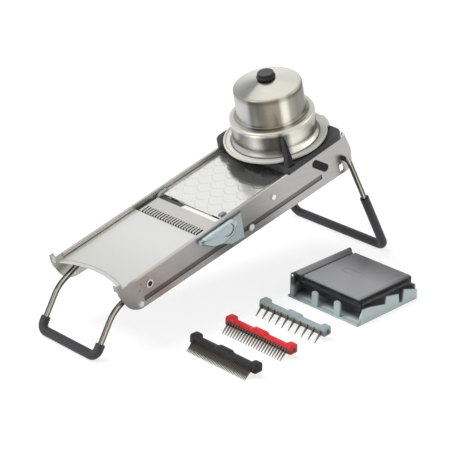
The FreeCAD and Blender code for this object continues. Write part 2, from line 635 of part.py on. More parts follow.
round_off(ring, 3, lambda e: along(e, Z_AXIS)
          and abs(math.hypot(e.CenterOfMass.x, e.CenterOfMass.y) - tab_radius) < 0.01)
lay_on_bed(ring, dome_place)

# Dome: a spun steel cup with a flared skirt, a step and a rounded crown, open below.
dome = new_body("dome_shell")
rod_hole = D.rod_radius + D.slide_gap / 2
wall_sheet = D.dome_sheet
crown_edge = D.crown_radius - D.crown_round
step_foot = D.step_radius - D.step_lip
flare_radius = D.skirt_radius + D.skirt_flare
knee = D.crown_round
turn(dome, [
    (rod_hole, crown_top), (crown_edge / 2, crown_top - D.crown_rise / 4),
    (crown_edge, D.crown_height), (crown_edge + knee * 0.5, D.crown_height - knee * 0.134),
    (crown_edge + knee * 0.866, D.crown_height - knee * 0.5),
    (D.crown_radius, D.crown_height - knee), (D.crown_radius + 0.5, D.step_height + 2.5),
    (D.crown_radius + 2, D.step_height + 0.5), (D.step_radius - 3, D.step_height),
    (D.step_radius - 0.9, D.step_height - 0.9), (D.step_radius, D.step_height - 3),
    (step_foot, D.step_height - 6), (D.skirt_radius, ring_top + D.skirt_flare),
    (D.skirt_radius + D.skirt_flare * 0.3, ring_top + D.skirt_flare * 0.4),
    (flare_radius, ring_top + wall_sheet), (flare_radius, ring_top),
    (D.skirt_radius + 1 - wall_sheet, ring_top),
    (D.skirt_radius - wall_sheet, ring_top + D.skirt_flare),
    (step_foot - wall_sheet, D.step_height - 6),
    (D.step_radius - wall_sheet, D.step_height - 3 - wall_sheet),
    (D.step_radius - 3 - wall_sheet, D.step_height - wall_sheet),
    (D.crown_radius + 0.5 - wall_sheet, D.step_height + 1 - wall_sheet),
    (D.crown_radius - wall_sheet, D.crown_height - knee),
    (crown_edge + knee * 0.866 - wall_sheet, D.crown_height - knee * 0.5 - wall_sheet / 2),
    (crown_edge + knee * 0.5 - wall_sheet / 2, D.crown_height - knee * 0.134 - wall_sheet),
    (crown_edge / 2, crown_top - D.crown_rise / 4 - wall_sheet),
    (rod_hole, crown_top - wall_sheet)])
lay_on_bed(dome, dome_place)

# Pusher: a black knob on a rod through the crown, and a spiked plate that holds the food.
knob_low = crown_top + D.slide_gap
knob = new_body("pusher_knob")
turn(knob, [(0, knob_low), (D.knob_radius, knob_low), (D.knob_radius, knob_low + D.knob_skirt - 1),
            (D.knob_radius - 1, knob_low + D.knob_skirt), (D.knob_top, knob_low + D.knob_skirt),
            (D.knob_top, knob_low + D.knob_height - 1), (D.knob_top - 1, knob_low + D.knob_height),
            (0, knob_low + D.knob_height)])
lay_on_bed(knob, dome_place)
plate_top = D.food_plate_level + D.food_plate_thick
rod = new_body("pusher_rod")
add(rod, "XY_Plane", [(0, 0, D.rod_radius)], plate_top, knob_low)
lay_on_bed(rod, dome_place)
food_plate = new_body("food_plate")
add(food_plate, "XY_Plane", [(0, 0, D.food_plate_radius)], D.food_plate_level, plate_top)
lay_on_bed(food_plate, dome_place)
spikes = new_body("food_spikes")
add(spikes, "XY_Plane", [(0, 0, D.spike_radius)]
    + [(D.spike_ring * round(math.cos(k * math.pi / 2)), D.spike_ring * round(math.sin(k * math.pi / 2)),
        D.spike_radius) for k in range(4)],
    D.food_plate_level - D.spike_length, D.food_plate_level)
lay_on_bed(spikes, dome_place)


# Wire legs: round steel wire bent at its corners, its ends turned through the walls, with a
# rubber sleeve over the foot that is worn flat underneath.
def on_bed(place, level):
    """The X and Z of a point of the bed, as numbers."""
    slope = math.radians(D.slope.number)
    x = D.front_reach.number + place * math.cos(slope) - level * math.sin(slope)
    z = D.rail_height.number + place * math.sin(slope) + level * math.cos(slope)
    return x, z


def bent_path(points, radii):
    """A wire of straight runs joined by tangent arcs at the inner points."""
    edges = []
    start = points[0]
    for before, corner, after, radius in zip(points, points[1:], points[2:], radii):
        back = (before - corner).normalize()
        ahead = (after - corner).normalize()
        half = back.getAngle(ahead) / 2
        reach = radius / math.tan(half)
        middle = (back + ahead).normalize() * (radius / math.sin(half) - radius)
        entry, leave = corner + back * reach, corner + ahead * reach
        edges.append(Part.LineSegment(start, entry).toShape())
        edges.append(Part.Arc(entry, corner + middle, leave).toShape())
        start = leave
    edges.append(Part.LineSegment(start, points[-1]).toShape())
    return Part.Wire(edges)


def tube(points, radii, radius):
    """Round bar along a bent path."""
    path = bent_path(points, radii)
    run = (points[1] - points[0]).normalize()
    profile = Part.Wire([Part.Circle(points[0], run, radius).toShape()])
    return path.makePipeShell([profile], True, False)


def mirrored(points):
    """The same points followed by their mirror images across the bed."""
    return points + [FreeCAD.Vector(p.x, -p.y, p.z) for p in reversed(points)]


def new_shape(label, shape):
    part = doc.addObject("Part::Feature", label)
    part.Label = label
    part.Shape = shape
    parts.append(part)


def leg(name, arm, radii, sleeve_run, cap_low, cap_high):
    """One leg from the points of its near arm, from the wall to the foot's corner."""
    wire = tube(mirrored(arm), radii + radii[::-1], D.wire_radius.number)
    new_shape(name + "_wire", wire)
    corner, elbow = arm[-1], arm[-2]
    cuff = corner + (elbow - corner).normalize() * sleeve_run
    skin = tube(mirrored([cuff, corner]), [radii[-1]] * 2, D.sleeve_radius.number)
    core = tube(mirrored([cuff, corner]), [radii[-1]] * 2, D.wire_radius.number + D.pin_fit.number)
    sole = Part.makeBox(80, 400, 40, FreeCAD.Vector(corner.x - 40, -200, -40))
    new_shape(name + "_sleeve", skin.cut(core).cut(sole))
    caps = []
    for side in (1, -1):
        low, high = sorted((side * cap_low, side * cap_high))
        base = FreeCAD.Vector(arm[0].x, low, arm[0].z)
        disc = Part.makeCylinder(D.cap_radius.number, high - low, base, Y_AXIS)
        hole = Part.makeCylinder(D.wire_radius.number, high - low, base, Y_AXIS)
        caps.append(disc.cut(hole))
    new_shape(name + "_caps", Part.makeCompound(caps))


foot_level = (D.sleeve_radius - D.foot_flat).number
outer_face = half_width.number
inner_face = inner.number
gap = D.slide_gap.number
cap = D.cap_sheet.number
front_x, front_z = on_bed(D.front_pivot.number, -D.front_pivot_drop.number)
front_side = outer_face - D.front_inset.number
front_arm = [FreeCAD.Vector(front_x, -outer_face - gap - cap, front_z),
             FreeCAD.Vector(front_x, -front_side, front_z),
             FreeCAD.Vector(D.elbow_reach.number, -front_side, D.elbow_height.number),
             FreeCAD.Vector(0, -front_side, foot_level)]
leg("front_leg", front_arm,
    [D.stub_bend.number, D.front_bend.number, D.corner_bend.number], D.front_sleeve.number,
    outer_face + gap, outer_face + gap + cap)
rear_x, rear_z = on_bed(D.rear_pivot.number, -D.rear_pivot_drop.number)
rear_arm = [FreeCAD.Vector(rear_x, gap + cap - inner_face, rear_z),
            FreeCAD.Vector(rear_x, -outer_face - D.rear_elbow.number, rear_z),
            FreeCAD.Vector(D.rear_reach.number, -outer_face - D.rear_outset.number, foot_level)]
leg("rear_leg", rear_arm, [D.stub_bend.number, D.corner_bend.number], D.rear_sleeve.number,
    inner_face - gap, inner_face - gap - cap)


# Comb inserts: a plastic bar with two end blocks and a finger pad, and a steel comb set in a
# sloping slot along its front.
def comb_insert(name, index, pitch, sheet, count):
    x = D.insert_place + D.insert_step * index
    y = D.insert_shift * index - D.insert_row
    half_bar = D.bar_length / 2
    bar_top = D.bar_lift + D.bar_height
    ends = half_bar + D.block_length
    block_low = D.bar_lift - D.block_drop
    block_top = block_low + D.block_height
    bar = new_body(name + "_insert_bar")
    add(bar, "XY_Plane", [box(-D.bar_width / 2, D.bar_width / 2, -half_bar, half_bar)],
        D.bar_lift, bar_top)
    for low, high in ((-ends, -half_bar), (half_bar, ends)):
        add(bar, "XY_Plane", [box(-D.bar_width / 2, D.block_width - D.bar_width / 2, low, high)],
            block_low, block_top)
    add(bar, "XY_Plane", [box(-D.bar_width / 2, D.bar_width / 2, -D.pad_length / 2,
                              D.pad_length / 2)], bar_top, bar_top + D.pad_rise)
    round_off(bar, D.block_round, lambda e: along(e, Y_AXIS) and e.CenterOfMass.z
              > block_top.number - 0.01 and abs(e.CenterOfMass.y) > half_bar.number)
    add(bar, "XY_Plane", [box(D.bar_width / 2 - D.heel_width, D.bar_width / 2, -half_bar,
                              half_bar)], 0, D.bar_lift)
    cut(bar, "XZ_Plane", [(1, block_low + D.block_height / 2, D.block_hole)], -ends - 1, 6 - ends)
    slot_half = D.comb_sheet / 2 + D.pin_fit
    run_x, run_z = cosine(D.comb_slope), sine(D.comb_slope)
    slot = [(a * run_x - b * run_z - D.bar_width / 2, a * run_z + b * run_x + D.comb_height)
            for a, b in ((as_size(-1), -slot_half), (D.comb_root, -slot_half),
                         (D.comb_root, slot_half), (as_size(-1), slot_half))]
    half_comb = D.comb_length / 2
    cut(bar, "XZ_Plane", [slot], -half_comb - D.pin_fit, half_comb + D.pin_fit)
    lay(bar, x, y, 0)
    comb = new_body(name + "_insert_comb")
    half_sheet = D.comb_sheet / 2
    add(comb, "XY_Plane", [box(as_size(-1), D.comb_root - D.pin_fit, -half_comb, half_comb)],
        -half_sheet, half_sheet)
    start = -pitch * (count - 1) / 2
    root = D.tooth_root / 2
    lean = root * run_z / run_x
    face = D.pin_fit / run_x
    tooth = add(comb, "XZ_Plane", [[(lean - face, root), (-D.tooth_length, D.tooth_tip / 2),
                                    (-D.tooth_length, -D.tooth_tip / 2), (-lean - face, -root)]],
                start - sheet / 2, start + sheet / 2)
    repeat(comb, tooth, "Y_Axis", pitch, count)
    lay(comb, x - D.bar_width / 2, y, D.comb_height, D.comb_slope)


comb_insert("black", 0, D.fine_pitch, D.fine_tooth, D.fine_count)
comb_insert("red", 1, D.medium_pitch, D.medium_tooth, D.medium_count)
comb_insert("grey", 2, D.coarse_pitch, D.coarse_tooth, D.coarse_count)

# Case tray: a grey base with a stepped near wall, a far wall with hinge ears, a rear wall and
# two finger tabs at its open front.
tray = new_body("case_tray")
half_case = D.case_width / 2
wall_in = half_case - D.case_sheet
pin_y = half_case - D.pin_inset
lid_rear = D.case_length - D.lid_inset
add(tray, "XY_Plane", [box(0, D.case_length, -half_case, half_case)], 0, D.case_sheet)
rise = D.case_step
add(tray, "XZ_Plane", [[(3, D.case_sheet), (10, D.case_wall), (19, D.case_wall),
                        (48, D.case_wall - rise * 2), (50, D.case_wall + rise),
                        (71, D.case_wall - rise / 3), (73, D.case_sheet * 2),
                        (79, D.case_sheet * 2), (81, D.case_wall + rise / 2),
                        (D.case_length, D.case_wall - rise * 2), (D.case_length, D.case_sheet)]],
    -half_case, -wall_in)
add(tray, "XZ_Plane", [box(5, D.case_length, D.case_sheet, D.case_wall)], wall_in, half_case)
add(tray, "XY_Plane", [box(D.case_length - D.case_sheet, D.case_length, -wall_in, wall_in)],
    D.case_sheet, D.case_wall)
for middle in (D.tab_far, -D.tab_near):
    add(tray, "YZ_Plane", [box(middle - D.tab_width / 2, middle + D.tab_width / 2,
                               D.case_sheet, D.tab_height)], 1, D.case_sheet + 1)
round_off(tray, D.tab_round, lambda e: along(e, X_AXIS)
          and e.CenterOfMass.z > D.tab_height.number - 0.01)
ear_gap = D.slide_gap
for low in (D.lid_front - ear_gap - D.ear_width, lid_rear + ear_gap):
    add(tray, "YZ_Plane", [box(pin_y - D.ear_radius, pin_y + D.ear_radius, D.case_sheet,
                               D.pin_height)], low, low + D.ear_width)
    add(tray, "YZ_Plane", [(pin_y, D.pin_height, D.ear_radius)], low, low + D.ear_width)
cut(tray, "YZ_Plane", [(pin_y, D.pin_height, D.pin_radius + D.pin_fit)], -1, D.case_length)
lay(tray, D.case_place, -D.case_row, 0)

# Case lid: a black cover with a rolled far edge that holds the hinge, a front skirt and a bare
# recess in the middle.
lid = new_body("case_lid")
lid_top = D.lid_level + D.lid_thick
lid_near = D.side_gap - wall_in
add(lid, "YZ_Plane", [[(lid_near, D.lid_level), (pin_y, D.lid_level), (pin_y, lid_top),
                       (lid_near + D.lid_edge, lid_top), (lid_near, lid_top - D.lid_edge)]],
    D.lid_front, lid_rear)
add(lid, "YZ_Plane", [(pin_y, D.pin_height, D.barrel_radius)], D.lid_front, lid_rear)
add(lid, "XY_Plane", [box(D.lid_front + 3, D.lid_front + 6, lid_near, pin_y - D.barrel_radius * 2)],
    D.lid_level - D.skirt_depth, D.lid_level)
cut(lid, "XY_Plane", [box(D.lid_front + 8, lid_rear - D.lid_wall, lid_near + D.lid_wall,
                          pin_y - D.barrel_radius * 2)], D.lid_level - 1, lid_top - D.lid_wall)
middle = (D.lid_front + lid_rear) / 2
cut(lid, "XY_Plane", [box(middle - D.mark_width / 2, middle + D.mark_width / 2,
                          -D.mark_length / 2, D.mark_length / 2)],
    lid_top - D.mark_depth, lid_top + 1)
cut(lid, "YZ_Plane", [(pin_y, D.pin_height, D.pin_radius + D.pin_fit)], -1, D.case_length)
lay(lid, D.case_place, -D.case_row, 0)

# Case pin: the steel hinge pin through the tray's ears and the lid's roll.
case_pin = new_body("case_hinge_pin")
add(case_pin, "YZ_Plane", [(pin_y, D.pin_height, D.pin_radius)],
    D.lid_front - ear_gap - D.ear_width, lid_rear + ear_gap + D.ear_width)
lay(case_pin, D.case_place, -D.case_row, 0)

doc.recompute()
failed = [o.Name for o in doc.Objects if "Invalid" in o.State or "Error" in o.State]
for part in parts:
    if part.Shape.isNull() or not part.Shape.isValid() or not part.Shape.Solids:
        failed.append(part.Label)
if failed:
    raise RuntimeError("failed: " + ", ".join(failed))
os.makedirs("parts", exist_ok=True)
for part in parts:
    part.Shape.exportStep("parts/%s.step" % part.Label)
    print(part.Label, len(part.Shape.Solids), round(part.Shape.Volume / 1000, 2))
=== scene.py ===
import json
import math

import bpy
import numpy as np
from mathutils import Matrix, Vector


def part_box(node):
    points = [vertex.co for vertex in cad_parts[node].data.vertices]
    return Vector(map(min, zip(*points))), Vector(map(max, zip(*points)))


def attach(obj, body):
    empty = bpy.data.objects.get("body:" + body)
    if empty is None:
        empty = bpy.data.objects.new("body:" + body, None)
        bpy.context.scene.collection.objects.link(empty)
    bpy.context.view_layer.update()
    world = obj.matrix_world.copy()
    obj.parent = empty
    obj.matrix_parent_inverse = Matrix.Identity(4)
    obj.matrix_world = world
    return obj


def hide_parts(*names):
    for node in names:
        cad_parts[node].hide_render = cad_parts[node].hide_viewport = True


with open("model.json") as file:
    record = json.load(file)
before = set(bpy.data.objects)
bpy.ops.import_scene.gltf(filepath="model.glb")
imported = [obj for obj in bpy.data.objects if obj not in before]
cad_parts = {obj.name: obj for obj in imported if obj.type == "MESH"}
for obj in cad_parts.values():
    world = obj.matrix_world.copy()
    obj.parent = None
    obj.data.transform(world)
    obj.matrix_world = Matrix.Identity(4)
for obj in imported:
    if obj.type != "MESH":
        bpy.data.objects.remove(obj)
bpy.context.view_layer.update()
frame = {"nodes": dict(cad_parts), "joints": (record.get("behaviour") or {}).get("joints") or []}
nodes = frame["nodes"]

# The view: a long lens looks down on the slicer's front corner, a little tipped to one side.
# The picture is square, and the lens is given for a frame 36 mm wide.
turn, lift, roll = math.radians(-45.44), math.radians(24.33), math.radians(-0.92)
toward_lens = np.array([math.sin(turn) * math.cos(lift), -math.cos(turn) * math.cos(lift),
                        math.sin(lift)])
level_right = np.cross(-toward_lens, [0.0, 0.0, 1.0])
level_right /= np.linalg.norm(level_right)
level_down = np.cross(-toward_lens, level_right)
picture_right = level_right * math.cos(roll) + level_down * math.sin(roll)
picture_down = level_down * math.cos(roll) - level_right * math.sin(roll)
lens = bpy.data.cameras.new("view")
lens.sensor_width = 36
lens.lens = 141.2
lens.clip_end = 50
viewer = bpy.data.objects.new("view", lens)
axes = np.stack([picture_right, -picture_down, toward_lens], axis=1)
placed = Matrix(axes.tolist()).to_4x4()
placed.translation = (-1.10194, -1.32504, 0.92379)
viewer.matrix_world = placed
bpy.context.scene.collection.objects.link(viewer)
bpy.context.scene.camera = viewer
bpy.context.scene.view_settings.view_transform = "Standard"


# The table: a seamless sheet of white card that keeps the soft shadow under each piece.
# It is lit a little from within where the lens or a mirror sees it, so that it stays near white.
def added(tree, *kinds):
    """New shader nodes in a tree of nodes, by kind."""
    return [tree.nodes.new("ShaderNode" + kind) for kind in kinds]


def wired(owner, *kinds):
    """New shader nodes for a material or a world, after its own are cleared."""
    owner.use_nodes = True
    owner.node_tree.nodes.clear()
    return added(owner.node_tree, *kinds)


def grid_mesh(name, points, *faces):
    """A mesh object from points (n, 3) and arrays of faces (m, k), turned outwards by its signed
    volume, the sum of p0 . (p1 x p2) / 6 over each face's fan of triangles."""
    points = np.asarray(points, dtype=float)
    volume = 0.0
    for group in faces:
        for k in range(1, group.shape[1] - 1):
            a, b, c = (points[group[:, m]] for m in (0, k, k + 1))
            volume += np.einsum("ij,ij->", a, np.cross(b, c))
    order = -1 if volume < 0 else 1
    turned = [face for group in faces for face in group[:, ::order].tolist()]
    mesh = bpy.data.meshes.new(name)
    mesh.from_pydata(points.tolist(), [], turned)
    mesh.polygons.foreach_set("use_smooth", [True] * len(mesh.polygons))
    made = bpy.data.objects.new(name, mesh)
    bpy.context.scene.collection.objects.link(made)
    return made


card_half, card_level, card_glow = 6.0, -0.0002, 0.66
card_points = np.array([[-1, -1, 0], [1, -1, 0], [1, 1, 0], [-1, 1, 0]]) * card_half
card_points[:, 2] = card_level
card = grid_mesh("table_card", card_points, np.array([[0, 1, 2, 3]]))
card_finish = bpy.data.materials.new("white_card")
lit, glow, blend, ray, either, share, out = wired(
    card_finish, "BsdfDiffuse", "Emission", "MixShader", "LightPath", "Math", "Math",
    "OutputMaterial")
lit.inputs["Color"].default_value = (0.9, 0.9, 0.9, 1)
glow.inputs["Color"].default_value = (1, 1, 1, 1)
glow.inputs["Strength"].default_value = 1.1
either.operation = "MAXIMUM"
share.operation = "MULTIPLY"
share.inputs[1].default_value = card_glow
links = card_finish.node_tree.links
links.new(ray.outputs["Is Camera Ray"], either.inputs[0])
links.new(ray.outputs["Is Glossy Ray"], either.inputs[1])
links.new(either.outputs[0], share.inputs[0])
links.new(share.outputs[0], blend.inputs["Fac"])
links.new(lit.outputs[0], blend.inputs[1])
links.new(glow.outputs[0], blend.inputs[2])
links.new(blend.outputs[0], out.inputs["Surface"])
card.data.materials.append(card_finish)

# The light: an even white room, a large lamp overhead and two smaller ones at the sides.
# The lens and mirrors see the room pure white, and it fills the shadows a little less.
world = bpy.data.worlds.new("studio")
bpy.context.scene.world = world
seen, fill, mixed, both, all_three, path, out = wired(
    world, "Background", "Background", "MixShader", "Math", "Math", "LightPath", "OutputWorld")
seen.inputs["Color"].default_value = (1, 1, 1, 1)
seen.inputs["Strength"].default_value = 1.0
fill.inputs["Color"].default_value = (0.97, 0.98, 1, 1)
fill.inputs["Strength"].default_value = 0.6
both.operation = "MAXIMUM"
all_three.operation = "MAXIMUM"
links = world.node_tree.links
links.new(path.outputs["Is Camera Ray"], both.inputs[0])
links.new(path.outputs["Is Transmission Ray"], both.inputs[1])
links.new(both.outputs[0], all_three.inputs[0])
links.new(path.outputs["Is Glossy Ray"], all_three.inputs[1])
links.new(all_three.outputs[0], mixed.inputs["Fac"])
links.new(fill.outputs[0], mixed.inputs[1])
links.new(seen.outputs[0], mixed.inputs[2])
links.new(mixed.outputs[0], out.inputs["Surface"])


def softbox(name, place, target, size, power):
    """A flat lamp at a place, turned to face the target."""
    lamp = bpy.data.lights.new(name, "AREA")
    lamp.shape = "RECTANGLE"
    lamp.size, lamp.size_y = size
    lamp.energy = power
    box = bpy.data.objects.new(name, lamp)
    away = np.array(place) - np.array(target)
    away = away / np.linalg.norm(away)
    side = np.cross([0.0, 1.0, 0.001], away)
    side /= np.linalg.norm(side)
    aimed = Matrix(np.stack([side, np.cross(away, side), away], axis=1).tolist()).to_4x4()
    aimed.translation = place
    box.matrix_world = aimed
    bpy.context.scene.collection.objects.link(box)
    return box


overhead = softbox("overhead", (-0.3, 0.7, 1.9), (0.2, -0.05, 0.0), (1.2, 1.2), 36)
overhead.visible_glossy = False
softbox("left_key", (-1.9, 0.3, 1.1), (0.2, 0.0, 0.1), (1.0, 1.0), 14)
softbox("right_strip", (1.6, -1.3, 1.0), (0.3, 0.0, 0.15), (0.4, 1.2), 5)


# Side walls: tapered sheets of stainless steel, brushed along their length, with a hemmed
# top rail and a pressed groove. Rivets and the tie rod's peened ends show on the outside.
joints = {joint["name"]: joint for joint in frame["joints"]}
down_rail = joints["carriage_slide"]["axis"]
slope = math.atan2(-down_rail[2], -down_rail[0])
bed_x, bed_z = 40.4, 82.2


def on_bed(u, v, w):
    """World points, in metres, of places on the sloping bed in millimetres:
    u along the rails, v across, w square to the bed."""
    u, v, w = np.broadcast_arrays(np.asarray(u, float), v, w)
    return np.stack([bed_x + u * math.cos(slope) - w * math.sin(slope), v,
                     bed_z + u * math.sin(slope) + w * math.cos(slope)], axis=-1) / 1000


def fed(tree, values, entries):
    """Fills inputs in turn: a plain number or colour is set, and a socket is linked."""
    for value, entry in zip(values, entries):
        if isinstance(value, (int, float, tuple)):
            entry.default_value = value
        else:
            tree.links.new(value, entry)


def sums(tree, kind, *values):
    """One math step of a material: its values are sockets or plain numbers."""
    step = added(tree, "Math")[0]
    step.operation = kind
    fed(tree, values, step.inputs)
    return step.outputs[0]


def layered(tree, share, below, above, kind="MIX"):
    """A colour laid by a share over another, or multiplied into it."""
    mix = added(tree, "MixRGB")[0]
    mix.blend_type = kind
    fed(tree, (share, below, above), mix.inputs)
    return mix.outputs[0]


def surfaced(tree, shader, colour, noise, cloud, rough, strength):
    """Makes a shader the surface: its colour, a roughness between two levels that follows a
    cloud, and a bump that follows a fine noise."""
    gloss, bump, out = added(tree, "MapRange", "Bump", "OutputMaterial")
    gloss.inputs["To Min"].default_value, gloss.inputs["To Max"].default_value = rough
    bump.inputs["Strength"].default_value = strength
    bump.inputs["Distance"].default_value = 0.0002
    tree.links.new(cloud.outputs["Fac"], gloss.inputs["Value"])
    tree.links.new(noise.outputs["Fac"], bump.inputs["Height"])
    tree.links.new(colour, shader.inputs["Base Color"])
    tree.links.new(gloss.outputs[0], shader.inputs["Roughness"])
    tree.links.new(bump.outputs[0], shader.inputs["Normal"])
    tree.links.new(shader.outputs[0], out.inputs["Surface"])


def brushed_steel(name, tint, rough, grain=(3, 260, 260), strength=0.06, streak=0.16):
    """Metal whose colour and bump follow one noise, drawn out along the grain."""
    finish = bpy.data.materials.new(name)
    coords, place, noise, cloud, metal = wired(
        finish, "TexCoord", "Mapping", "TexNoise", "TexNoise", "BsdfPrincipled")
    tree = finish.node_tree
    place.inputs["Scale"].default_value = grain
    place.inputs["Rotation"].default_value = (0, slope, 0)
    tree.links.new(coords.outputs["Object"], place.inputs["Vector"])
    tree.links.new(place.outputs[0], noise.inputs["Vector"])
    noise.inputs["Scale"].default_value = 6
    noise.inputs["Detail"].default_value = 6
    tree.links.new(coords.outputs["Object"], cloud.inputs["Vector"])
    cloud.inputs["Scale"].default_value = 9
    metal.inputs["Metallic"].default_value = 1.0
    tone = layered(tree, streak, (*tint, 1), noise.outputs["Fac"], "MULTIPLY")
    surfaced(tree, metal, tone, noise, cloud, (rough - 0.07, rough + 0.09), strength)
    return finish


def dress(finish, *names):
    """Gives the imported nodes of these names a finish."""
    for name in names:
        nodes[name].data.materials.clear()
        nodes[name].data.materials.append(finish)


def bed_places(tree):
    """Sockets of the distances along, across and square to the bed, in metres."""
    coords, bed, parts = added(tree, "TexCoord", "Mapping", "SeparateXYZ")
    bed.vector_type = "TEXTURE"
    bed.inputs["Location"].default_value = tuple(on_bed(0, 0, 0))
    bed.inputs["Rotation"].default_value = (0, -slope, 0)
    tree.links.new(coords.outputs["Object"], bed.inputs["Vector"])
    tree.links.new(bed.outputs[0], parts.inputs[0])
    return parts.outputs


def surface_of(tree):
    """The shader of a finish, which holds its colour and gloss."""
    return next(n for n in tree.nodes if n.type == "BSDF_PRINCIPLED")


def tinted(finish, mask, tint):
    """Multiplies a finish's colour by a tint, a colour or a socket, where the mask is one."""
    tree = finish.node_tree
    colour = surface_of(tree).inputs["Base Color"]
    tint = (*tint, 1) if isinstance(tint, tuple) else tint
    tone = layered(tree, mask, colour.links[0].from_socket, tint, "MULTIPLY")
    tree.links.new(tone, colour)


def ramped(tree, value, low, high):
    """A value stretched so that low gives 0 and high gives 1, and held there beyond them."""
    step = added(tree, "MapRange")[0]
    step.inputs["From Min"].default_value = low
    step.inputs["From Max"].default_value = high
    tree.links.new(value, step.inputs["Value"])
    return step.outputs[0]


near_steel = brushed_steel("near_wall_steel", (0.49, 0.481, 0.465), 0.3, streak=0.25)
tree = near_steel.node_tree
along, across, square = bed_places(tree)
# Painted reflection: the near wall's front end is a little darker.
tinted(near_steel, ramped(tree, along, 0.14, 0.04), (0.93, 0.905, 0.885))
# Painted reflection: a dark band along the wall behind the lever.
painted_dark_reflection_behind_lever = sums(tree, "MULTIPLY", ramped(tree, along, 0.245, 0.185),
                    ramped(tree, along, 0.12, 0.15))
tinted(near_steel, painted_dark_reflection_behind_lever, (0.74, 0.735, 0.725))
# Painted shade: the pressed groove and the wall's inner faces are darker.
sunk_painted_shade = sums(tree, "MULTIPLY", ramped(tree, across, -0.0558, -0.0553),
            ramped(tree, square, -0.004, -0.005))
tinted(near_steel, sunk_painted_shade, (0.38, 0.365, 0.35))
# Painted highlight: a bright line along the top of the rail.
rail_top_painted_highlight = sums(tree, "MULTIPLY", ramped(tree, square, -0.0024, -0.0014),
                ramped(tree, along, 0.004, 0.014))
tinted(near_steel, rail_top_painted_highlight, (1.45, 1.45, 1.42))
# Painted light: the far wall is a lighter copy of the same steel, for its lit inner face.
far_steel_painted_lighter = brushed_steel("far_wall_steel_painted_lighter", (0.66, 0.64, 0.595), 0.5, streak=0.25)
rivet_steel = brushed_steel("rivet_steel", (0.93, 0.92, 0.89), 0.36, grain=(40, 40, 40))
dress(near_steel, "near_side_wall")
dress(far_steel_painted_lighter, "far_side_wall")
dress(rivet_steel, "wall_rivets", "cross_tie_rod", "infeed_hinge_pin", "lever_shaft",
      "case_hinge_pin")


# Output plate: bright smooth steel sheet between the walls, scooped in front, that the slices run
# down. A darker line is painted along the scooped edge as the shade of a shallow pressed lip, and
# the plate is painted darker towards its scooped front.
def reach_from(tree, along, across, centre):
    """The distance on the bed from a point of its middle line, in metres."""
    off = sums(tree, "SUBTRACT", along, centre)
    return sums(tree, "SQRT", sums(tree, "ADD", sums(tree, "MULTIPLY", off, off),
                                   sums(tree, "MULTIPLY", across, across)))


scoop_centre, lip_radius = -0.1175, 0.1235
plate_steel = brushed_steel("plate_steel", (0.78, 0.78, 0.765), 0.34, strength=0.02, streak=0.08)
tree = plate_steel.node_tree
along, across = bed_places(tree)[:2]
# Painted shade: a darker line along the scooped edge, for a pressed lip.
from_lip = sums(tree, "SUBTRACT", reach_from(tree, along, across, scoop_centre), lip_radius)
lip_painted_shade = ramped(tree, sums(tree, "ABSOLUTE", from_lip), 0.0009, 0.0004)
tinted(plate_steel, lip_painted_shade, (0.72, 0.71, 0.7))
# Painted shade: the plate darkens towards its scooped front.
tinted(plate_steel, ramped(tree, along, 0.075, 0.0), (0.86, 0.86, 0.85))
dress(plate_steel, "output_plate")


# Slicing blade and its cradle: a ground strip with one straight edge, bevelled on top, and one
# ridged edge, on a grey plastic bridge painted dark as the shade it lies in. The gaps between the
# ridges are painted dark as their shade, and the bevel carries a painted dark reflection on its
# far half and a painted highlight on its near half.
def two_faced(name, a, b, top, bottom, place):
    """A closed plate over the grid a x b: two height fields, joined along the border, whose
    points (a, b, height) go through place to the world."""
    grid_a, grid_b = np.meshgrid(a, b, indexing="ij")
    points = np.concatenate([place(grid_a, grid_b, field).reshape(-1, 3)
                             for field in (top, bottom)])
    rows, columns = len(a), len(b)
    spot = np.arange(rows * columns).reshape(rows, columns)
    cells = np.stack([spot[:-1, :-1], spot[1:, :-1], spot[1:, 1:], spot[:-1, 1:]],
                     axis=-1).reshape(-1, 4)
    rim = np.concatenate([spot[:-1, 0], spot[-1, :-1], spot[:0:-1, -1], spot[0, :0:-1]])
    after = np.roll(rim, -1)
    under = rows * columns
    border = np.stack([rim, rim + under, after + under, after], axis=1)
    return grid_mesh(name, points, cells, cells[:, ::-1] + under, border[:, ::-1])


def carry(piece, layer, values):
    """Keeps one number for each point of a piece, under a layer's name."""
    kept = piece.data.attributes.new(layer, "FLOAT", "POINT")
    kept.data.foreach_set("value", values)


def carried(tree, layer):
    """The socket of a layer's numbers in a material."""
    level = added(tree, "Attribute")[0]
    level.attribute_name = layer
    return level.outputs["Fac"]


ridge_front, ridge_rear, ridge_pitch, ridge_height = 110.5, 122.6, 4.2, 1.75
ridge_near, ridge_far = -47.5, 44.9
bevel_front, blade_rear, bevel_drop = 141, 148, 1.3
blade_near, blade_far, blade_top, blade_under = -50, 47.4, -5, -6.55
blade_u = np.concatenate([[110.6, 111.2], np.linspace(111.8, 121, 10), [121.8, ridge_rear],
                          np.linspace(124, 140.8, 12), np.linspace(bevel_front, blade_rear, 8)])
blade_v = np.linspace(blade_near, blade_far, 780)
# Across the blade each ridge is a trapezium, by the distance from its middle as a share of the
# pitch. Lengthwise the ridges ramp up and down, and the bevel falls evenly to the edge.
ridge_turn = np.abs((blade_v - ridge_near) / ridge_pitch % 1 - 0.5)
ridged = (blade_v > ridge_near) & (blade_v < ridge_far)
ridge = np.clip((0.36 - ridge_turn) / 0.1, 0, 1) * ridged
ridge_ends = np.clip(np.minimum((blade_u - ridge_front) / 0.8, (ridge_rear - blade_u) / 1.6), 0, 1)
raised = ridge_ends[:, None] * ridge[None, :]
bevel = np.clip((blade_u - bevel_front) / (blade_rear - bevel_front), 0, 1)[:, None]
bevel = bevel * np.ones_like(raised)
blade = two_faced("slicing_blade_ground", blade_u, blade_v,
                  blade_top + ridge_height * raised - bevel_drop * bevel,
                  np.full_like(raised, blade_under), on_bed)
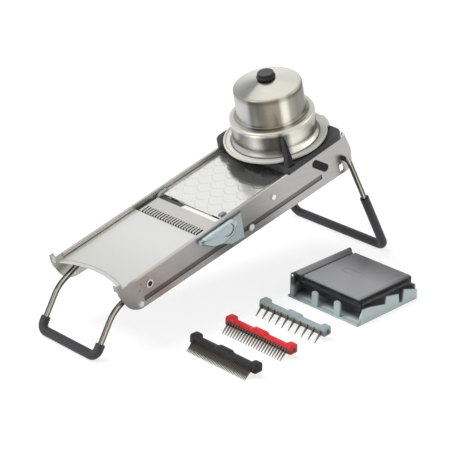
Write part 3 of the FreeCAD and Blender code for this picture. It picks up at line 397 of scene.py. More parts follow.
# Painted shade in the gaps between the ridges; a painted dark reflection on the bevel's far half
# and a painted highlight on its near half.
gaps_painted_shade = ((blade_u < 122.2)[:, None]
        * (np.clip((ridge_turn - 0.25) / 0.03, 0, 1) * ridged)[None, :])
far_bevel_painted_reflection = (bevel > 0.05) * np.clip((blade_v - 8) / 2, 0, 1)[None, :]
near_bevel_painted_highlight = (bevel > 0.05) * (1 - far_bevel_painted_reflection)
blade_steel = brushed_steel("blade_steel", (0.66, 0.65, 0.62), 0.3, grain=(260, 3, 260))
for layer, level, tint in (("gap", gaps_painted_shade, (0.03, 0.026, 0.02)),
                           ("far_bevel_painted_reflection", far_bevel_painted_reflection, (0.12, 0.115, 0.11)),
                           ("near_bevel_painted_highlight", near_bevel_painted_highlight, (1.6, 1.6, 1.6))):
    carry(blade, layer, np.concatenate([level.ravel(), np.zeros(level.size)]))
    tinted(blade_steel, carried(blade_steel.node_tree, layer), tint)
blade.data.materials.append(blade_steel)
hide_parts("slicing_blade")
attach(blade, "frame")


def moulded(name, tint, rough, shine=0.5):
    """Plastic from a spark-eroded mould: even colour with faint clouds and a fine grain."""
    finish = bpy.data.materials.new(name)
    coords, noise, cloud, plastic = wired(
        finish, "TexCoord", "TexNoise", "TexNoise", "BsdfPrincipled")
    tree = finish.node_tree
    tree.links.new(coords.outputs["Object"], noise.inputs["Vector"])
    tree.links.new(coords.outputs["Object"], cloud.inputs["Vector"])
    noise.inputs["Scale"].default_value = 900
    cloud.inputs["Scale"].default_value = 25
    plastic.inputs["Specular IOR Level"].default_value = shine
    tone = layered(tree, 0.18, (*tint, 1), cloud.outputs["Fac"], "MULTIPLY")
    surfaced(tree, plastic, tone, noise, cloud, (rough - 0.06, rough + 0.08), 0.05)
    return finish


# Painted shade: the cradle's grey plastic is set dark for the shade it lies in.
dress(moulded("cradle_plastic_painted_shade", (0.05, 0.055, 0.058), 0.5), "blade_cradle")

# Lever panel: a grey moulded bezel let into the near wall, which bears the lever's shaft.
# Its upper edge is painted dark as the shade of the rail.
grey_plastic = moulded("grey_plastic", (0.46, 0.535, 0.54), 0.42)
tree = grey_plastic.node_tree
square = bed_places(tree)[2]
tinted(grey_plastic, ramped(tree, square, -0.0085, -0.0065), (0.16, 0.165, 0.17))
dress(grey_plastic, "lever_panel")


# Thickness lever: a grey paddle outside the near wall, with a dark tip whose ribs are painted as
# stripes of shade, a low rim painted dark as shade, and a half-moon moulded on its face. It turns
# on the shaft that crosses the bed.
def soft_outline(corners, steps=7, spacing=2.5):
    """A closed outline from corners (a, b, radius): each corner becomes an arc, and each
    straight run is split so that no step is longer than the spacing."""
    bends = np.array(corners, dtype=float)
    spots, radii = bends[:, :2], bends[:, 2]
    run = []
    for k, (here, radius) in enumerate(zip(spots, radii)):
        back = spots[k - 1] - here
        ahead = spots[(k + 1) % len(spots)] - here
        back, ahead = back / np.linalg.norm(back), ahead / np.linalg.norm(ahead)
        half = math.acos(np.clip(back @ ahead, -1, 1)) / 2
        if radius <= 0 or half > 1.56:
            run.append(here[None])
            continue
        middle = (back + ahead) / np.linalg.norm(back + ahead)
        centre = here + middle * radius / math.sin(half)
        sweep = (math.pi / 2 - half) * np.linspace(-1, 1, steps)
        across = (ahead - back) / np.linalg.norm(ahead - back)
        run.append(centre + radius * (np.outer(np.sin(sweep), across)
                                      - np.outer(np.cos(sweep), middle)))
    run = np.concatenate(run)
    parts = []
    for start, end in zip(run, np.roll(run, -1, axis=0)):
        count = max(1, math.ceil(np.linalg.norm(end - start) / spacing))
        parts.append(start + np.outer(np.arange(count) / count, end - start))
    return np.concatenate(parts)


def loft(name, rings):
    """A closed skin over rings of points (n, k, 3), with a fan over the first and last ring."""
    rings = np.asarray(rings)
    n, k = rings.shape[:2]
    points = np.concatenate([rings.reshape(-1, 3), rings[[0, -1]].mean(axis=1)])
    i, j = np.meshgrid(np.arange(n - 1), np.arange(k), indexing="ij")
    after = (j + 1) % k
    sides = np.stack([i * k + j, (i + 1) * k + j, (i + 1) * k + after, i * k + after],
                     axis=-1).reshape(-1, 4)
    spin = np.arange(k)
    last = (n - 1) * k
    first_fan = np.stack([np.full(k, n * k), spin, (spin + 1) % k], axis=1)
    last_fan = np.stack([np.full(k, n * k + 1), last + (spin + 1) % k, last + spin], axis=1)
    return grid_mesh(name, points, sides, first_fan, last_fan)


def drawn_in(outline, inset):
    """An outline moved inwards by an inset, along the mean of each corner's two normals."""
    ahead = np.roll(outline, -1, axis=0) - outline
    normal = np.stack([-ahead[:, 1], ahead[:, 0]], axis=1)
    normal /= np.maximum(np.linalg.norm(normal, axis=1, keepdims=True), 1e-9)
    normal = normal + np.roll(normal, 1, axis=0)
    normal /= np.maximum(np.linalg.norm(normal, axis=1, keepdims=True), 1e-9)
    area = np.sum(outline[:, 0] * np.roll(outline[:, 1], -1)
                  - outline[:, 1] * np.roll(outline[:, 0], -1))
    return outline + normal * inset * np.sign(area)


def plaque(name, outline, back, front, edge, shrink=0.0):
    """A moulded plate on the bed: an outline (u, w) from v = back to v = front, with its front
    edge rounded to a radius and its rim there drawn in a little further."""
    way = np.sign(front - back)
    rounds = [(edge * (1 - math.sin(a)), edge * (1 - math.cos(a)))
              for a in np.linspace(0, math.pi / 2, 5)]
    stations = [(back, 0.0)] + [(front - way * depth, inset) for depth, inset in rounds]
    stations.append((front, edge + shrink))
    rings = []
    for v, inset in stations:
        ring = drawn_in(outline, inset)
        rings.append(on_bed(ring[:, 0], v, ring[:, 1]))
    return loft(name, rings)


paddle_outline = soft_outline([
    (103.6, -5.4, 0.8), (121, -5.0, 0), (156, -5.4, 4), (160.5, -13, 6), (155, -24, 7),
    (136, -27, 9), (121, -22.5, 8), (109.5, -13.6, 3), (103.6, -9.8, 1.2)])
paddle = plaque("thickness_lever_moulded", paddle_outline, back=-56.5, front=-61.2, edge=0.7,
                shrink=1.0)
# Painted shade: the rings of the rim where the outline faces down are marked to be darkened.
facing_down = np.clip(((drawn_in(paddle_outline, 1) - paddle_outline)[:, 1] - 0.2) / 0.3, 0, 1)
rim = np.zeros((len(paddle.data.vertices) - 2) // len(facing_down))
rim[:-1] = 1
carry(paddle, "low_rim_painted_shade", np.concatenate([np.outer(rim, facing_down).ravel(), [0, 0]]))
lever_plastic = moulded("lever_plastic", (0.54, 0.63, 0.65), 0.4)
tree = lever_plastic.node_tree
along = bed_places(tree)[0]
# Painted shade: the tip is darkened in stripes for its ribs.
tip = ramped(tree, along, 0.1092, 0.1086)
painted_rib_stripes = sums(tree, "GREATER_THAN", sums(tree, "SINE", sums(tree, "MULTIPLY", along, 5200.0)), -0.2)
tinted(lever_plastic, sums(tree, "MULTIPLY", tip, painted_rib_stripes), (0.28, 0.3, 0.31))
# Painted shade along the paddle's low rim.
tinted(lever_plastic, ramped(tree, carried(tree, "low_rim_painted_shade"), 0.1, 0.6), (0.3, 0.32, 0.33))
paddle.data.materials.append(lever_plastic)
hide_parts("thickness_lever")
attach(paddle, "lever")

moon_u, moon_w, moon_radius, moon_stretch = 146.5, -14.2, 7.4, 1.15
moon_foot, moon_face = -61.1, -61.38
moon_angle = np.linspace(math.radians(-150), math.radians(60), 40)
moon_width = 0.25 + 1.5 * np.sin(np.linspace(0, math.pi, 40)) ** 0.8
# A four-cornered section is carried round an arc, and its width swells from one end to the other.
reach = moon_radius - np.outer(moon_width, [0, 1, 1, 0])
level = np.array([moon_foot, moon_foot, moon_face, moon_face])
half_moon = loft("thickness_lever_half_moon", on_bed(
    moon_u + reach * np.cos(moon_angle)[:, None] * moon_stretch, level,
    moon_w + reach * np.sin(moon_angle)[:, None]))
moon_plastic = moulded("half_moon_plastic", (0.05, 0.06, 0.068), 0.4)
half_moon.data.materials.append(moon_plastic)
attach(half_moon, "lever")

# Far shaft block: the grey hook inside the far wall, with a rounded head beside the blade's end.
# The infeed plate's near corner has a small grey stop of the same plastic.
hook = plaque("far_shaft_block_moulded", soft_outline([
    (138.3, -19.6, 1), (151, -19.6, 1), (153.5, -10.6, 2), (164.5, -10.2, 2), (163.5, -6.4, 3),
    (158, -2.9, 4), (149.5, -2.9, 2.5), (145, -5.2, 1.5), (143, -8.0, 1.5), (138.3, -10.5, 1)]),
    back=53.4, front=48.2, edge=0.9)
hook_plastic = moulded("hook_plastic", (0.24, 0.28, 0.285), 0.42)
hook.data.materials.append(hook_plastic)
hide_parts("far_shaft_block")
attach(hook, "frame")
stop = plaque("infeed_corner_stop", soft_outline([
    (151.6, -5.3, 0), (160.4, -5.3, 0), (160.0, -3.1, 0.8), (152.0, -3.1, 0.8)]),
    back=-46.2, front=-40.6, edge=0.5)
stop.data.materials.append(hook_plastic)
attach(stop, "infeed")

# Infeed plate: bright sheet embossed with shallow scallops, so that wet food slides.
# It hangs on a pin at its high end and is nearly a mirror between the scallops.
infeed_steel = brushed_steel("infeed_steel", (0.81, 0.81, 0.795), 0.17, strength=0.02, streak=0.08)
tree = infeed_steel.node_tree
along, across = bed_places(tree)[:2]
scallop_depth, scallop_width = 0.0125, 0.021
row = sums(tree, "DIVIDE", along, scallop_depth)
half_step = sums(tree, "MULTIPLY", sums(tree, "MODULO", sums(tree, "FLOOR", row), 2.0), 0.5)
column = sums(tree, "DIVIDE", sums(tree, "ADD", across, 0.5), scallop_width)
column = sums(tree, "ADD", column, half_step)
side = sums(tree, "SUBTRACT", sums(tree, "FRACT", column), 0.5)
bow = sums(tree, "MULTIPLY", sums(tree, "MULTIPLY", side, side), 2.6)
gap = sums(tree, "ABSOLUTE", sums(tree, "SUBTRACT", sums(tree, "FRACT", row),
                                  sums(tree, "ADD", bow, 0.12)))
scallop = ramped(tree, gap, 0.13, 0.05)
metal = surface_of(tree)
metal.inputs["Metallic"].default_value = 0.925
emboss = added(tree, "Bump")[0]
emboss.inputs["Strength"].default_value = 0.1
emboss.inputs["Distance"].default_value = 0.0006
tree.links.new(scallop, emboss.inputs["Height"])
tree.links.new(metal.inputs["Normal"].links[0].from_socket, emboss.inputs["Normal"])
tree.links.new(emboss.outputs[0], metal.inputs["Normal"])
# The scallops are embossed by the bump above; their lines are also painted a little darker as
# shade.
tinted(infeed_steel, scallop, (0.91, 0.91, 0.9))
dress(infeed_steel, "infeed_plate")

# Carriage: a black moulded plate that slides on the two rails, painted darker round its mouth as
# the shade of the ring there. The body's small black mouldings are of a like plastic; the
# carriage's own black is set lighter than theirs as a painted sheen.
dome_axis = np.array(joints["dome_spin"]["pos_m"]) * 1000
dome_place = (dome_axis[0] - bed_x) * math.cos(slope) + (dome_axis[2] - bed_z) * math.sin(slope)
black_plastic = moulded("black_plastic", (0.012, 0.0125, 0.014), 0.42)
dress(black_plastic, "rail_ledges", "infeed_hinge_blocks", "lever_cams", "food_plate")
carriage_black = moulded("carriage_black", (0.042, 0.042, 0.045), 0.42, shine=0.3)
tree = carriage_black.node_tree
along, across = bed_places(tree)[:2]
from_axis = reach_from(tree, along, across, dome_place / 1000)
# Painted shade: the plate darkens near the ring.
tinted(carriage_black, ramped(tree, from_axis, 0.073, 0.063), (0.3, 0.3, 0.3))
dress(carriage_black, "carriage_plate")

# Lock button: a black moulded oval in the near wall, pressed in against a spring.
# Its face is dull, so that the room hardly shows in it.
dress(moulded("button_black", (0.012, 0.0125, 0.014), 0.42, shine=0.15), "lock_button")

# Thumb rest: a black moulded wedge at the carriage's near front corner, screwed on through its
# foot. Ribs up its front face are painted as stripes of highlight, its other faces are painted
# darker as shade, and it narrows to a rounded top.
rest_foot, rest_height, rest_inner = 9.85, 38.6, 2.2
at_foot, at_top = np.array([250.8, -61.7, 10.9, 7.0]), np.array([251.3, -59.7, 2.3, 5.0])
rest = []
# The section is a wedge whose front, near side, width and depth run evenly from foot to top.
for share, inset in ((0, 0), (0.05, 0), (0.3, 0), (0.6, 0), (0.9, 0), (0.97, 0.2), (1, 0.8)):
    front, near, wide, deep = at_foot + (at_top - at_foot) * share
    outline = np.array([front, near]) + soft_outline([
        (inset, inset, 0.5), (wide - inset, inset, 0.4), (rest_inner - inset, deep - inset, 0.5),
        (inset, deep - inset, 0.5)], steps=5, spacing=99)
    rest.append(on_bed(outline[:, 0], outline[:, 1], rest_foot + rest_height * share))
thumb_rest = loft("carriage_fin_moulded", rest)
rest_black = moulded("thumb_rest_black", (0.02, 0.0205, 0.022), 0.36, shine=0.15)
tree = rest_black.node_tree
along, across = bed_places(tree)[:2]
# Painted highlight: light stripes up the front face for its ribs.
painted_rib_stripes = sums(tree, "SINE", sums(tree, "MULTIPLY", across, 3600.0))
tinted(rest_black, sums(tree, "MULTIPLY", ramped(tree, painted_rib_stripes, 0.1, 0.7),
                        ramped(tree, along, 0.2522, 0.2517)), (3.2, 3.2, 3.2))
# Painted shade: the faces behind the front are darker.
tinted(rest_black, ramped(tree, along, 0.2522, 0.2528), (0.35, 0.35, 0.35))
thumb_rest.data.materials.append(rest_black)
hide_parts("carriage_fin")
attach(thumb_rest, "carriage")


# Dome: a cup of stainless steel, spun and brushed round its axis, with a domed crown, a rolled
# step and a skirt that flares onto the ring below.
def lathe(name, outline, swell=None, around=256):
    """A closed outline (radius, height) in millimetres turned about the dome's axis. The swell,
    where given, moves radii outwards by the angle. UV: angle as a share, way along the outline."""
    count = len(outline)
    angle = np.arange(around) * 2 * math.pi / around
    radius = np.repeat(outline[None, :, 0], around, axis=0)
    if swell is not None:
        radius = radius + swell(angle[:, None], radius)
    points = on_bed(dome_place + radius * np.cos(angle)[:, None],
                    radius * np.sin(angle)[:, None], outline[None, :, 1]).reshape(-1, 3)
    i, j = np.meshgrid(np.arange(around), np.arange(count), indexing="ij")
    ahead, after = (i + 1) % around, (j + 1) % count
    faces = np.stack([i * count + j, ahead * count + j, ahead * count + after,
                      i * count + after], axis=-1).reshape(-1, 4)
    made = grid_mesh(name, points, faces)
    way = np.concatenate([[0], np.cumsum(np.linalg.norm(np.diff(outline, axis=0), axis=1))]) / 1000
    corner = np.empty(len(made.data.loops), dtype=int)
    made.data.loops.foreach_get("vertex_index", corner)
    spin = (corner // count).reshape(-1, 4) / around
    spin = spin + (spin.max(axis=1, keepdims=True) - spin > 0.5)
    layer = made.data.uv_layers.new(name="turned")
    layer.data.foreach_set("uv", np.stack([spin.ravel(), way[corner % count]], axis=1).ravel())
    return made


def crown_line(height, *span):
    """Points of the crown, whose height falls with the square of the radius."""
    return [(radius, height - crown_fall * (radius / crown_radius) ** 2, 0)
            for radius in np.linspace(*span)]


crown_height, crown_fall, crown_radius, rod_hole, sheet = 90, 6.2, 33, 4.2, 1
shell_out = crown_line(crown_height, rod_hole, 34, 15)
shell_out += [(40.5, 81.4, 3.8), (41.2, 45.8, 2.2), (45.4, 44.6, 2.0), (50.9, 44.6, 3.4),
              (50.3, 36, 0), (49.9, 19, 6.0), (53.4, 13.2, 0)]
shell_in = [(53.4, 12.4, 0), (48.6, 12.8, 2.0), (48.6, 38.0, 1.0), (49.6, 40.6, 0.8),
            (49.6, 43.0, 2.0), (40.2, 43.6, 1.5), (39.6, 80.4, 3.0)]
shell_in += crown_line(crown_height - sheet, 33.4, rod_hole, 10)
dome = lathe("dome_shell_spun", soft_outline(shell_out + shell_in))


def banded(tree, value, *stops):
    """The tone of a value on a colour ramp of stops (place, level, share of blue left in it)."""
    node = added(tree, "ValToRGB")[0]
    tree.links.new(value, node.inputs["Fac"])
    ramp = node.color_ramp
    for spot, level, blue in stops:
        stop = ramp.elements.new(spot) if 0 < spot < 1 else ramp.elements[0 if spot == 0 else -1]
        stop.position = spot
        stop.color = (level, level * (1 - 1.3 * (1 - blue) ** 2), level * blue, 1)
    return node.outputs[0]


dome_steel = bpy.data.materials.new("spun_steel")
coords, place, noise, cloud, parts, tangent, metal = wired(
    dome_steel, "TexCoord", "Mapping", "TexNoise", "TexNoise", "SeparateXYZ", "Tangent",
    "BsdfPrincipled")
tree = dome_steel.node_tree
place.inputs["Scale"].default_value = (4, 900, 1)
tree.links.new(coords.outputs["UV"], place.inputs["Vector"])
tree.links.new(place.outputs[0], noise.inputs["Vector"])
noise.inputs["Scale"].default_value = 3
noise.inputs["Detail"].default_value = 5
tree.links.new(coords.outputs["Object"], cloud.inputs["Vector"])
cloud.inputs["Scale"].default_value = 14
tree.links.new(coords.outputs["UV"], parts.inputs[0])
outer_way = 0.13
turn_share, way_share = parts.outputs[0], sums(tree, "DIVIDE", parts.outputs[1], outer_way)
# Painted reflections: bands of tone by angle round the wall, crown and skirt, a painted highlight
# on the rolled step, and painted light and shade by the way along the outline.
wall_painted_reflection = banded(
    tree, turn_share, (0.0, 0.6, 0.9), (0.1, 0.5, 0.9), (0.2, 0.65, 0.9), (0.3, 0.55, 0.9),
    (0.38, 0.56, 1.0), (0.47, 0.64, 1.0), (0.512, 0.6, 1.0), (0.534, 0.18, 0.94),
    (0.57, 0.14, 0.9), (0.615, 0.38, 0.7), (0.666, 0.38, 0.7), (0.684, 1.0, 0.87),
    (0.702, 1.0, 0.87), (0.722, 0.44, 0.82), (0.76, 0.3, 0.82), (0.8, 0.29, 0.84),
    (0.835, 0.19, 0.88), (0.87, 0.45, 0.9), (1.0, 0.6, 0.9))
crown_painted_reflection = banded(
    tree, turn_share, (0.0, 0.85, 0.92), (0.25, 0.8, 0.94), (0.33, 0.64, 0.96), (0.4, 0.42, 0.98),
    (0.46, 0.32, 0.97), (0.5, 0.34, 0.95), (0.53, 0.74, 0.92), (0.6, 0.9, 0.88),
    (0.75, 0.88, 0.87), (0.84, 0.78, 0.9), (1.0, 0.85, 0.92))
skirt_painted_reflection = banded(
    tree, turn_share, (0.0, 0.6, 0.9), (0.3, 0.55, 0.95), (0.38, 0.55, 1.0), (0.47, 0.56, 0.98),
    (0.52, 0.46, 0.96), (0.56, 0.32, 0.92), (0.59, 0.16, 0.88), (0.65, 0.12, 0.82),
    (0.672, 0.25, 0.8), (0.69, 1.0, 0.87), (0.725, 0.95, 0.87), (0.76, 0.62, 0.85),
    (0.8, 0.58, 0.83), (0.83, 0.6, 0.83), (0.86, 0.3, 0.88), (0.9, 0.5, 0.9), (1.0, 0.6, 0.9))
step_painted_highlight = (0.72, 0.705, 0.62, 1)
way_painted_light_and_shade = banded(
    tree, way_share, (0.0, 0.9, 1), (0.03, 1, 1), (0.25, 1, 1), (0.272, 0.95, 0.96),
    (0.29, 0.58, 0.86), (0.31, 0.6, 0.88), (0.34, 0.95, 1), (0.4, 1, 1), (0.53, 0.95, 1),
    (0.555, 0.7, 0.95), (0.57, 0.5, 0.9), (0.59, 1, 1), (0.65, 1, 1), (0.68, 0.8, 1),
    (0.72, 0.92, 1), (0.84, 0.95, 1), (0.87, 1, 1), (1.0, 0.9, 1))
on_crown = banded(tree, way_share, (0.0, 1, 1), (0.265, 1, 1), (0.3, 0, 1), (1.0, 0, 1))
on_skirt = banded(
    tree, way_share, (0.0, 0, 1), (0.64, 0, 1), (0.67, 1, 1), (0.9, 1, 1), (1.0, 0, 1))
on_step = banded(
    tree, way_share, (0.0, 0, 1), (0.565, 0, 1), (0.59, 0.8, 1), (0.645, 0.8, 1), (0.67, 0, 1),
    (0.83, 0, 1), (0.88, 0.7, 1), (1.0, 0.7, 1))
tone = layered(tree, on_crown, wall_painted_reflection, crown_painted_reflection)
tone = layered(tree, on_skirt, tone, skirt_painted_reflection)
tone = layered(tree, on_step, tone, step_painted_highlight)
tone = layered(tree, 1.0, tone, way_painted_light_and_shade, "MULTIPLY")
tone = layered(tree, 0.3, tone, noise.outputs["Fac"], "MULTIPLY")
surfaced(tree, metal, tone, noise, cloud, (0.24, 0.36), 0.05)
tangent.direction_type = "UV_MAP"
tangent.uv_map = "turned"
tree.links.new(tangent.outputs[0], metal.inputs["Tangent"])
metal.inputs["Anisotropic"].default_value = 0.6
metal.inputs["Metallic"].default_value = 1.0
dome.data.materials.append(dome_steel)
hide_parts("dome_shell")
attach(dome, "dome")

# Ring: a pale moulded brim with an upturned lip and one thumb tab; its hub turns in the carriage's
# mouth and carries the dome. Its underside is painted dark as shade, and it is painted darker
# where mirrors see it, a painted reflection in shade.
tab_turn, tab_reach, tab_half_width, brim_radius = math.radians(-30), 3.3, 13.5, 62
bed_up = (-math.sin(slope), 0, math.cos(slope))


def tab_swell(angle, radius):
    """Radii from 57 mm on move out by up to the tab's reach, inside the tab's width."""
    off = np.abs((angle - tab_turn + math.pi) % (2 * math.pi) - math.pi) * brim_radius
    return (tab_reach * np.clip((tab_half_width - off) / 4, 0, 1) ** 0.5
            * np.clip((radius - 57) / 3, 0, 1))


def facing(tree, way):
    """How much a face looks a way: the product of its normal and that way, from -1 to 1."""
    coords, lean = added(tree, "TexCoord", "VectorMath")
    lean.operation = "DOT_PRODUCT"
    lean.inputs[1].default_value = way
    tree.links.new(coords.outputs["Normal"], lean.inputs[0])
    return lean.outputs["Value"]


ring = lathe("dome_ring_moulded", soft_outline([
    (44.1, 4.3, 0.4), (46.1, 4.3, 0.4), (46.1, 10.3, 0.3), (61.9, 10.3, 1.0), (61.9, 13.8, 0.8),
    (60.2, 13.8, 0.7), (58.6, 12.3, 1.0), (44.1, 12.3, 0.4)], spacing=1.5), tab_swell, around=512)
pale_plastic = moulded("pale_plastic", (0.54, 0.53, 0.48), 0.35)
tree = pale_plastic.node_tree
# Painted shade on the ring's underside.
tinted(pale_plastic, ramped(tree, facing(tree, bed_up), -0.1, -0.6), (0.15, 0.15, 0.15))
# Painted reflection: the ring is darker where a mirror sees it.
path = added(tree, "LightPath")[0]
tinted(pale_plastic, path.outputs["Is Glossy Ray"], (0.25, 0.25, 0.25))
ring.data.materials.append(pale_plastic)
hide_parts("dome_flange_ring")
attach(ring, "dome")

# Pusher: a black two-step knob on a steel rod through the crown, with a spiked plate below
# that holds the food.
knob = lathe("pusher_knob_moulded", soft_outline([
    (0.05, 90.4, 0), (11.2, 90.4, 0.4), (11.2, 92.7, 0.9), (9.9, 93.1, 0.4), (9.8, 97.0, 1.1),
    (7.5, 96.7, 0.5), (0.05, 96.4, 0)], spacing=1.2), around=128)
knob_black = moulded("knob_black", (0.018, 0.0185, 0.02), 0.45, shine=0.15)
tree = knob_black.node_tree
# Painted light: the knob's top face is lighter than its sides.
tinted(knob_black, ramped(tree, facing(tree, bed_up), 0.8, 0.97), (3.4, 3.4, 3.4))
knob.data.materials.append(knob_black)
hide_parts("pusher_knob")
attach(knob, "pusher")
dress(rivet_steel, "pusher_rod", "food_spikes")

# Legs: polished steel wire bent to a wide loop, its ends turned through the walls and headed.
# Painted reflections run along it as light and dark lines, by how each face looks one fixed way. A
# black rubber sleeve covers each foot and its corners.
painted_reflection_side = (0.7063, -0.7078, 0.0146)
wire_steel = brushed_steel("wire_steel", (0.62, 0.58, 0.5), 0.16, grain=(60, 60, 60))
tree = wire_steel.node_tree
# Painted reflection: light and dark bands across the wire.
across_wire = ramped(tree, facing(tree, painted_reflection_side), -1.0, 1.0)
tinted(wire_steel, 1.0, banded(
    tree, across_wire, (0.0, 0.3, 1), (0.1, 0.12, 1), (0.3, 0.1, 1), (0.42, 0.3, 1),
    (0.5, 0.35, 1), (0.56, 1, 1), (0.68, 1, 1), (0.74, 0.35, 1), (0.86, 0.14, 1), (1.0, 0.35, 1)))
dress(wire_steel, "front_leg_wire", "rear_leg_wire")
dress(rivet_steel, "front_leg_caps", "rear_leg_caps")
rubber = moulded("black_rubber", (0.018, 0.018, 0.021), 0.5)
dress(rubber, "front_leg_sleeve", "rear_leg_sleeve")


# Comb inserts: three moulded bars with end blocks and a grip pad, each with a row of steel teeth
# let into its front face: fine in black, medium in red and coarse in grey.
bar_front = -4.5


def insert_bar(name, x, y):
    """A rounded section swept across: at each station its rear, low and high edges follow the
    bar, the pad and the end blocks, and the ends are drawn in by their rounding."""
    side = np.array([0, 8.2, 9.6, 10.6, 12, 25, 36.8, 38.4, 39.6, 40.8, 42, 45.5, 48.6, 49.6,
                     50.2, 50.45])
    rear = np.array([4.5, 4.5, 4.5, 4.5, 4.5, 4.5, 4.5, 4.9, 6.2, 7.3, 7.5, 7.5, 7.5, 7.5, 7.5,
                     7.5])
    low = np.array([6, 6, 6, 6, 6, 6, 6, 6, 5.8, 5.6, 5.5, 5.5, 5.5, 5.5, 5.5, 5.5])
    high = np.array([16.9, 16.9, 16.3, 15, 14.5, 14.5, 14.5, 14.8, 15.6, 16.3, 16.5, 16.5, 16.5,
                     16.5, 16.5, 16.5])
    drawn = np.array([0, 0, 0, 0, 0, 0, 0, 0, 0, 0, 0, 0, 0, 0.3, 0.9, 1.7])
    stations = np.concatenate([-side[:0:-1], side])
    fold = np.abs(np.arange(-len(side) + 1, len(side)))
    rings = []
    for across, k in zip(stations, fold):
        front, back, base, top = (bar_front + drawn[k], rear[k] - drawn[k], low[k] + drawn[k],
                                  high[k] - drawn[k])
        section = soft_outline([(front, base, 1.6), (back, base, 1.6), (back, top, 2.2),
                                (front, top, 2.6)], steps=6, spacing=99)
        rings.append(np.stack([x + section[:, 0], np.full(len(section), y + across),
                               section[:, 1]], axis=1))
    return loft(name, np.array(rings) / 1000)


def own_places(tree):
    """Sockets of a point's own x, y and z, in metres."""
    coords, parts = added(tree, "TexCoord", "SeparateXYZ")
    tree.links.new(coords.outputs["Object"], parts.inputs[0])
    return parts.outputs


red_plastic = moulded("red_plastic", (0.56, 0.01, 0.016), 0.34, shine=0.4)
insert_black = moulded("insert_black", (0.02, 0.0205, 0.023), 0.4, shine=0.2)
insert_grey = moulded("insert_grey", (0.275, 0.325, 0.338), 0.42)
for colour, finish in (("black", insert_black), ("red", red_plastic), ("grey", insert_grey)):
    lowest, highest = np.array(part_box(colour + "_insert_bar")) * 1000
    bar_x, bar_y = lowest[0] - bar_front, (lowest[1] + highest[1]) / 2
    bar = insert_bar(colour + "_bar_moulded", bar_x, bar_y)
    tree = finish.node_tree
    places = own_places(tree)
    # Painted shade: the lower part of each bar is darker.
    tinted(finish, ramped(tree, places[2], 0.0132, 0.0102), (0.5, 0.5, 0.5))
    # Painted shade: a dark square on each end block stands for a hole.
    from_painted_hole = [sums(tree, "ABSOLUTE", sums(tree, "SUBTRACT", place, middle / 1000))
                for place, middle in zip(places, (bar_x + 1.5, bar_y, 11.0))]
    painted_hole_shade = sums(tree, "MULTIPLY", ramped(tree, from_painted_hole[0], 0.0023, 0.0018),
               ramped(tree, from_painted_hole[2], 0.0027, 0.0022))
    tinted(finish, sums(tree, "MULTIPLY", painted_hole_shade, ramped(tree, from_painted_hole[1], 0.0496, 0.0499)),
           (0.06, 0.06, 0.06))
    bar.data.materials.append(finish)
    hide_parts(colour + "_insert_bar")
    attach(bar, colour + "_insert")
comb_steel = brushed_steel("comb_steel", (0.2, 0.175, 0.15), 0.35)
dress(comb_steel, "red_insert_comb", "grey_insert_comb")
dress(brushed_steel("fine_comb_steel", (0.12, 0.105, 0.09), 0.35), "black_insert_comb")


# Case: a grey tray for the inserts under a black lid, hollow below, with a rolled hinge edge and
# a small sunk panel in the middle of its top.
case_low, case_high = np.array(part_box("case_tray")) * 1000
case_front, case_middle = case_low[0], (case_low[1] + case_high[1]) / 2


def lid_place(x, y, z):
    """World points of places in the case, in millimetres from its front edge's middle."""
    return np.stack(np.broadcast_arrays(case_front + x, case_middle + y, z), axis=-1) / 1000


def fine_steps(*runs):
    """Grid lines from runs (start, end, count), joined, sorted and without repeats."""
    return np.unique(np.round(np.concatenate([np.linspace(*run) for run in runs]), 4))


lid_front, lid_rear, lid_near, lid_far = 5, 97, -50, 52.55
lid_x = fine_steps((lid_front, 9, 14), (7.9, 8.1, 3), (10.9, 11.1, 3), (12.9, 13.1, 3),
                   (9, 40, 12), (40, 62, 45), (62, 91, 12), (93.9, 94.1, 3), (91, lid_rear, 16))
lid_y = fine_steps((lid_near, -44, 16), (-47.1, -46.9, 3), (-44, -20, 9), (-20, 20, 81),
                   (20, 30, 5), (30, 38, 17), (38.7, 38.9, 3), (38, lid_far, 44))
x, y = np.meshgrid(lid_x, lid_y, indexing="ij")


def rounded_drop(inward, radius):
    """How far a rounded edge lies below its top at a distance inward from the edge."""
    return radius - np.sqrt(np.maximum(0, radius ** 2 - np.maximum(0, radius - inward) ** 2))


lid_top, skirt_low, flap_low, hollow_roof, hollow_far = 32, 22.0, 14.0, 28.9, 38.8
hinge_y, hinge_z, hinge_radius = 48, 29, 4.58
roll_y, roll_half, roll_foot, roll_height = 45.4, 7.16, 26, 6.9
panel_x, panel_half_x, panel_half_y, panel_sink, panel_line = 51, 5.5, 14.5, 0.45, 1.2
# The top is level, less rounded drops at the edges, a fine groove along the near edge, a sunk
# line before the roll and the panel's frame. The roll is half an ellipse over a round barrel.
near = y - lid_near
drop_end = rounded_drop(np.minimum(x - lid_front, lid_rear - x), 2.5)
top = lid_top - np.maximum(drop_end, rounded_drop(near, 3.5))
top -= 0.7 * np.exp(-((near - 6.5) / 0.6) ** 2)
top -= 3.0 * np.clip((y - 34.5) / 1.2, 0, 1) * np.clip((40.5 - y) / 2.0, 0, 1)
rolled = (roll_foot - drop_end
          + roll_height * np.sqrt(np.maximum(0, 1 - ((y - roll_y) / roll_half) ** 2)))
top = np.where(y > 38.2, np.maximum(rolled, np.where(y < 40.5, top, 0)), top)
in_panel = -np.maximum(np.abs(x - panel_x) - panel_half_x, np.abs(y) - panel_half_y)
top -= panel_sink * np.clip(in_panel / 0.4, 0, 1)
top += panel_sink * np.clip((in_panel - panel_line) / 0.4, 0, 1)
hollow = (x > 13) & (x < 94) & (near > 3) & (y < hollow_far)
bottom = np.where(hollow, hollow_roof, skirt_low)
bottom = np.where((x > 8) & (x < 11) & (y < hollow_far), flap_low, bottom)
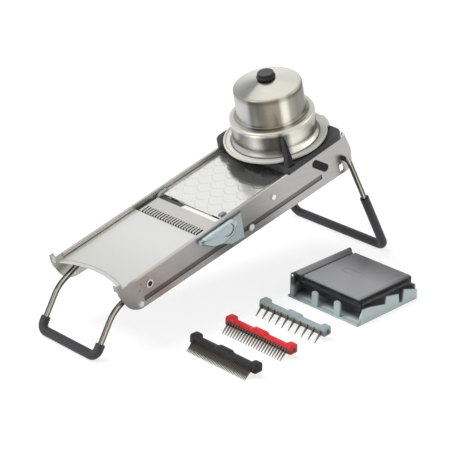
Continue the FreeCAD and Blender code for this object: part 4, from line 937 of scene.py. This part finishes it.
under_roll = hinge_z - np.sqrt(np.maximum(0, hinge_radius ** 2 - (y - hinge_y) ** 2))
bottom = np.where(y > hinge_y, under_roll, bottom)
top = np.maximum(top, bottom + 0.02)
lid = two_faced("case_lid_moulded", lid_x, lid_y, top, bottom, lid_place)
# Painted sheen: the lid's black is set lighter so that its top looks lit.
lid_black_painted_sheen = moulded("lid_black_painted_sheen", (0.25, 0.25, 0.262), 0.3, shine=0.3)
tree = lid_black_painted_sheen.node_tree
places = own_places(tree)
# Painted shade: the faces below the top are dark.
tinted(lid_black_painted_sheen, ramped(tree, places[2], 0.0312, 0.0296), (0.07, 0.07, 0.072))
# Painted shade: the top darkens towards the back.
tinted(lid_black_painted_sheen, ramped(tree, places[0], 0.312, 0.35), (0.42, 0.42, 0.42))
lid.data.materials.append(lid_black_painted_sheen)
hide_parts("case_lid")
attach(lid, "case_lid")

tray_grey = moulded("tray_grey", (0.66, 0.75, 0.745), 0.42)
tree = tray_grey.node_tree
own_x, own_y, own_z = own_places(tree)
# Painted shade: the tray's insides are darker.
inside_x = sums(tree, "MULTIPLY", ramped(tree, own_x, 0.272, 0.284),
                ramped(tree, own_x, 0.3702, 0.369))
inside_y = sums(tree, "MULTIPLY", ramped(tree, own_y, -0.1872, -0.1862),
                ramped(tree, own_y, -0.0816, -0.0826))
tinted(tray_grey, sums(tree, "MULTIPLY", inside_x, inside_y), (0.3, 0.295, 0.29))
# Painted shade: the near end face is darker.
tinted(tray_grey, ramped(tree, own_x, 0.2725, 0.2705), (0.58, 0.62, 0.62))
# Painted shade: darker towards the hinge side.
tinted(tray_grey, ramped(tree, own_y, -0.104, -0.096), (0.6, 0.6, 0.6))
hinge_post = sums(tree, "MULTIPLY", ramped(tree, own_y, -0.0985, -0.0965),
                  ramped(tree, own_z, 0.014, 0.019))
tinted(tray_grey, hinge_post, (0.12, 0.115, 0.115))
# Painted shade: the outer face of the long wall away from the slicer is a little darker.
tinted(tray_grey, ramped(tree, own_y, -0.1855, -0.1868), (0.7, 0.71, 0.71))
dress(tray_grey, "case_tray")
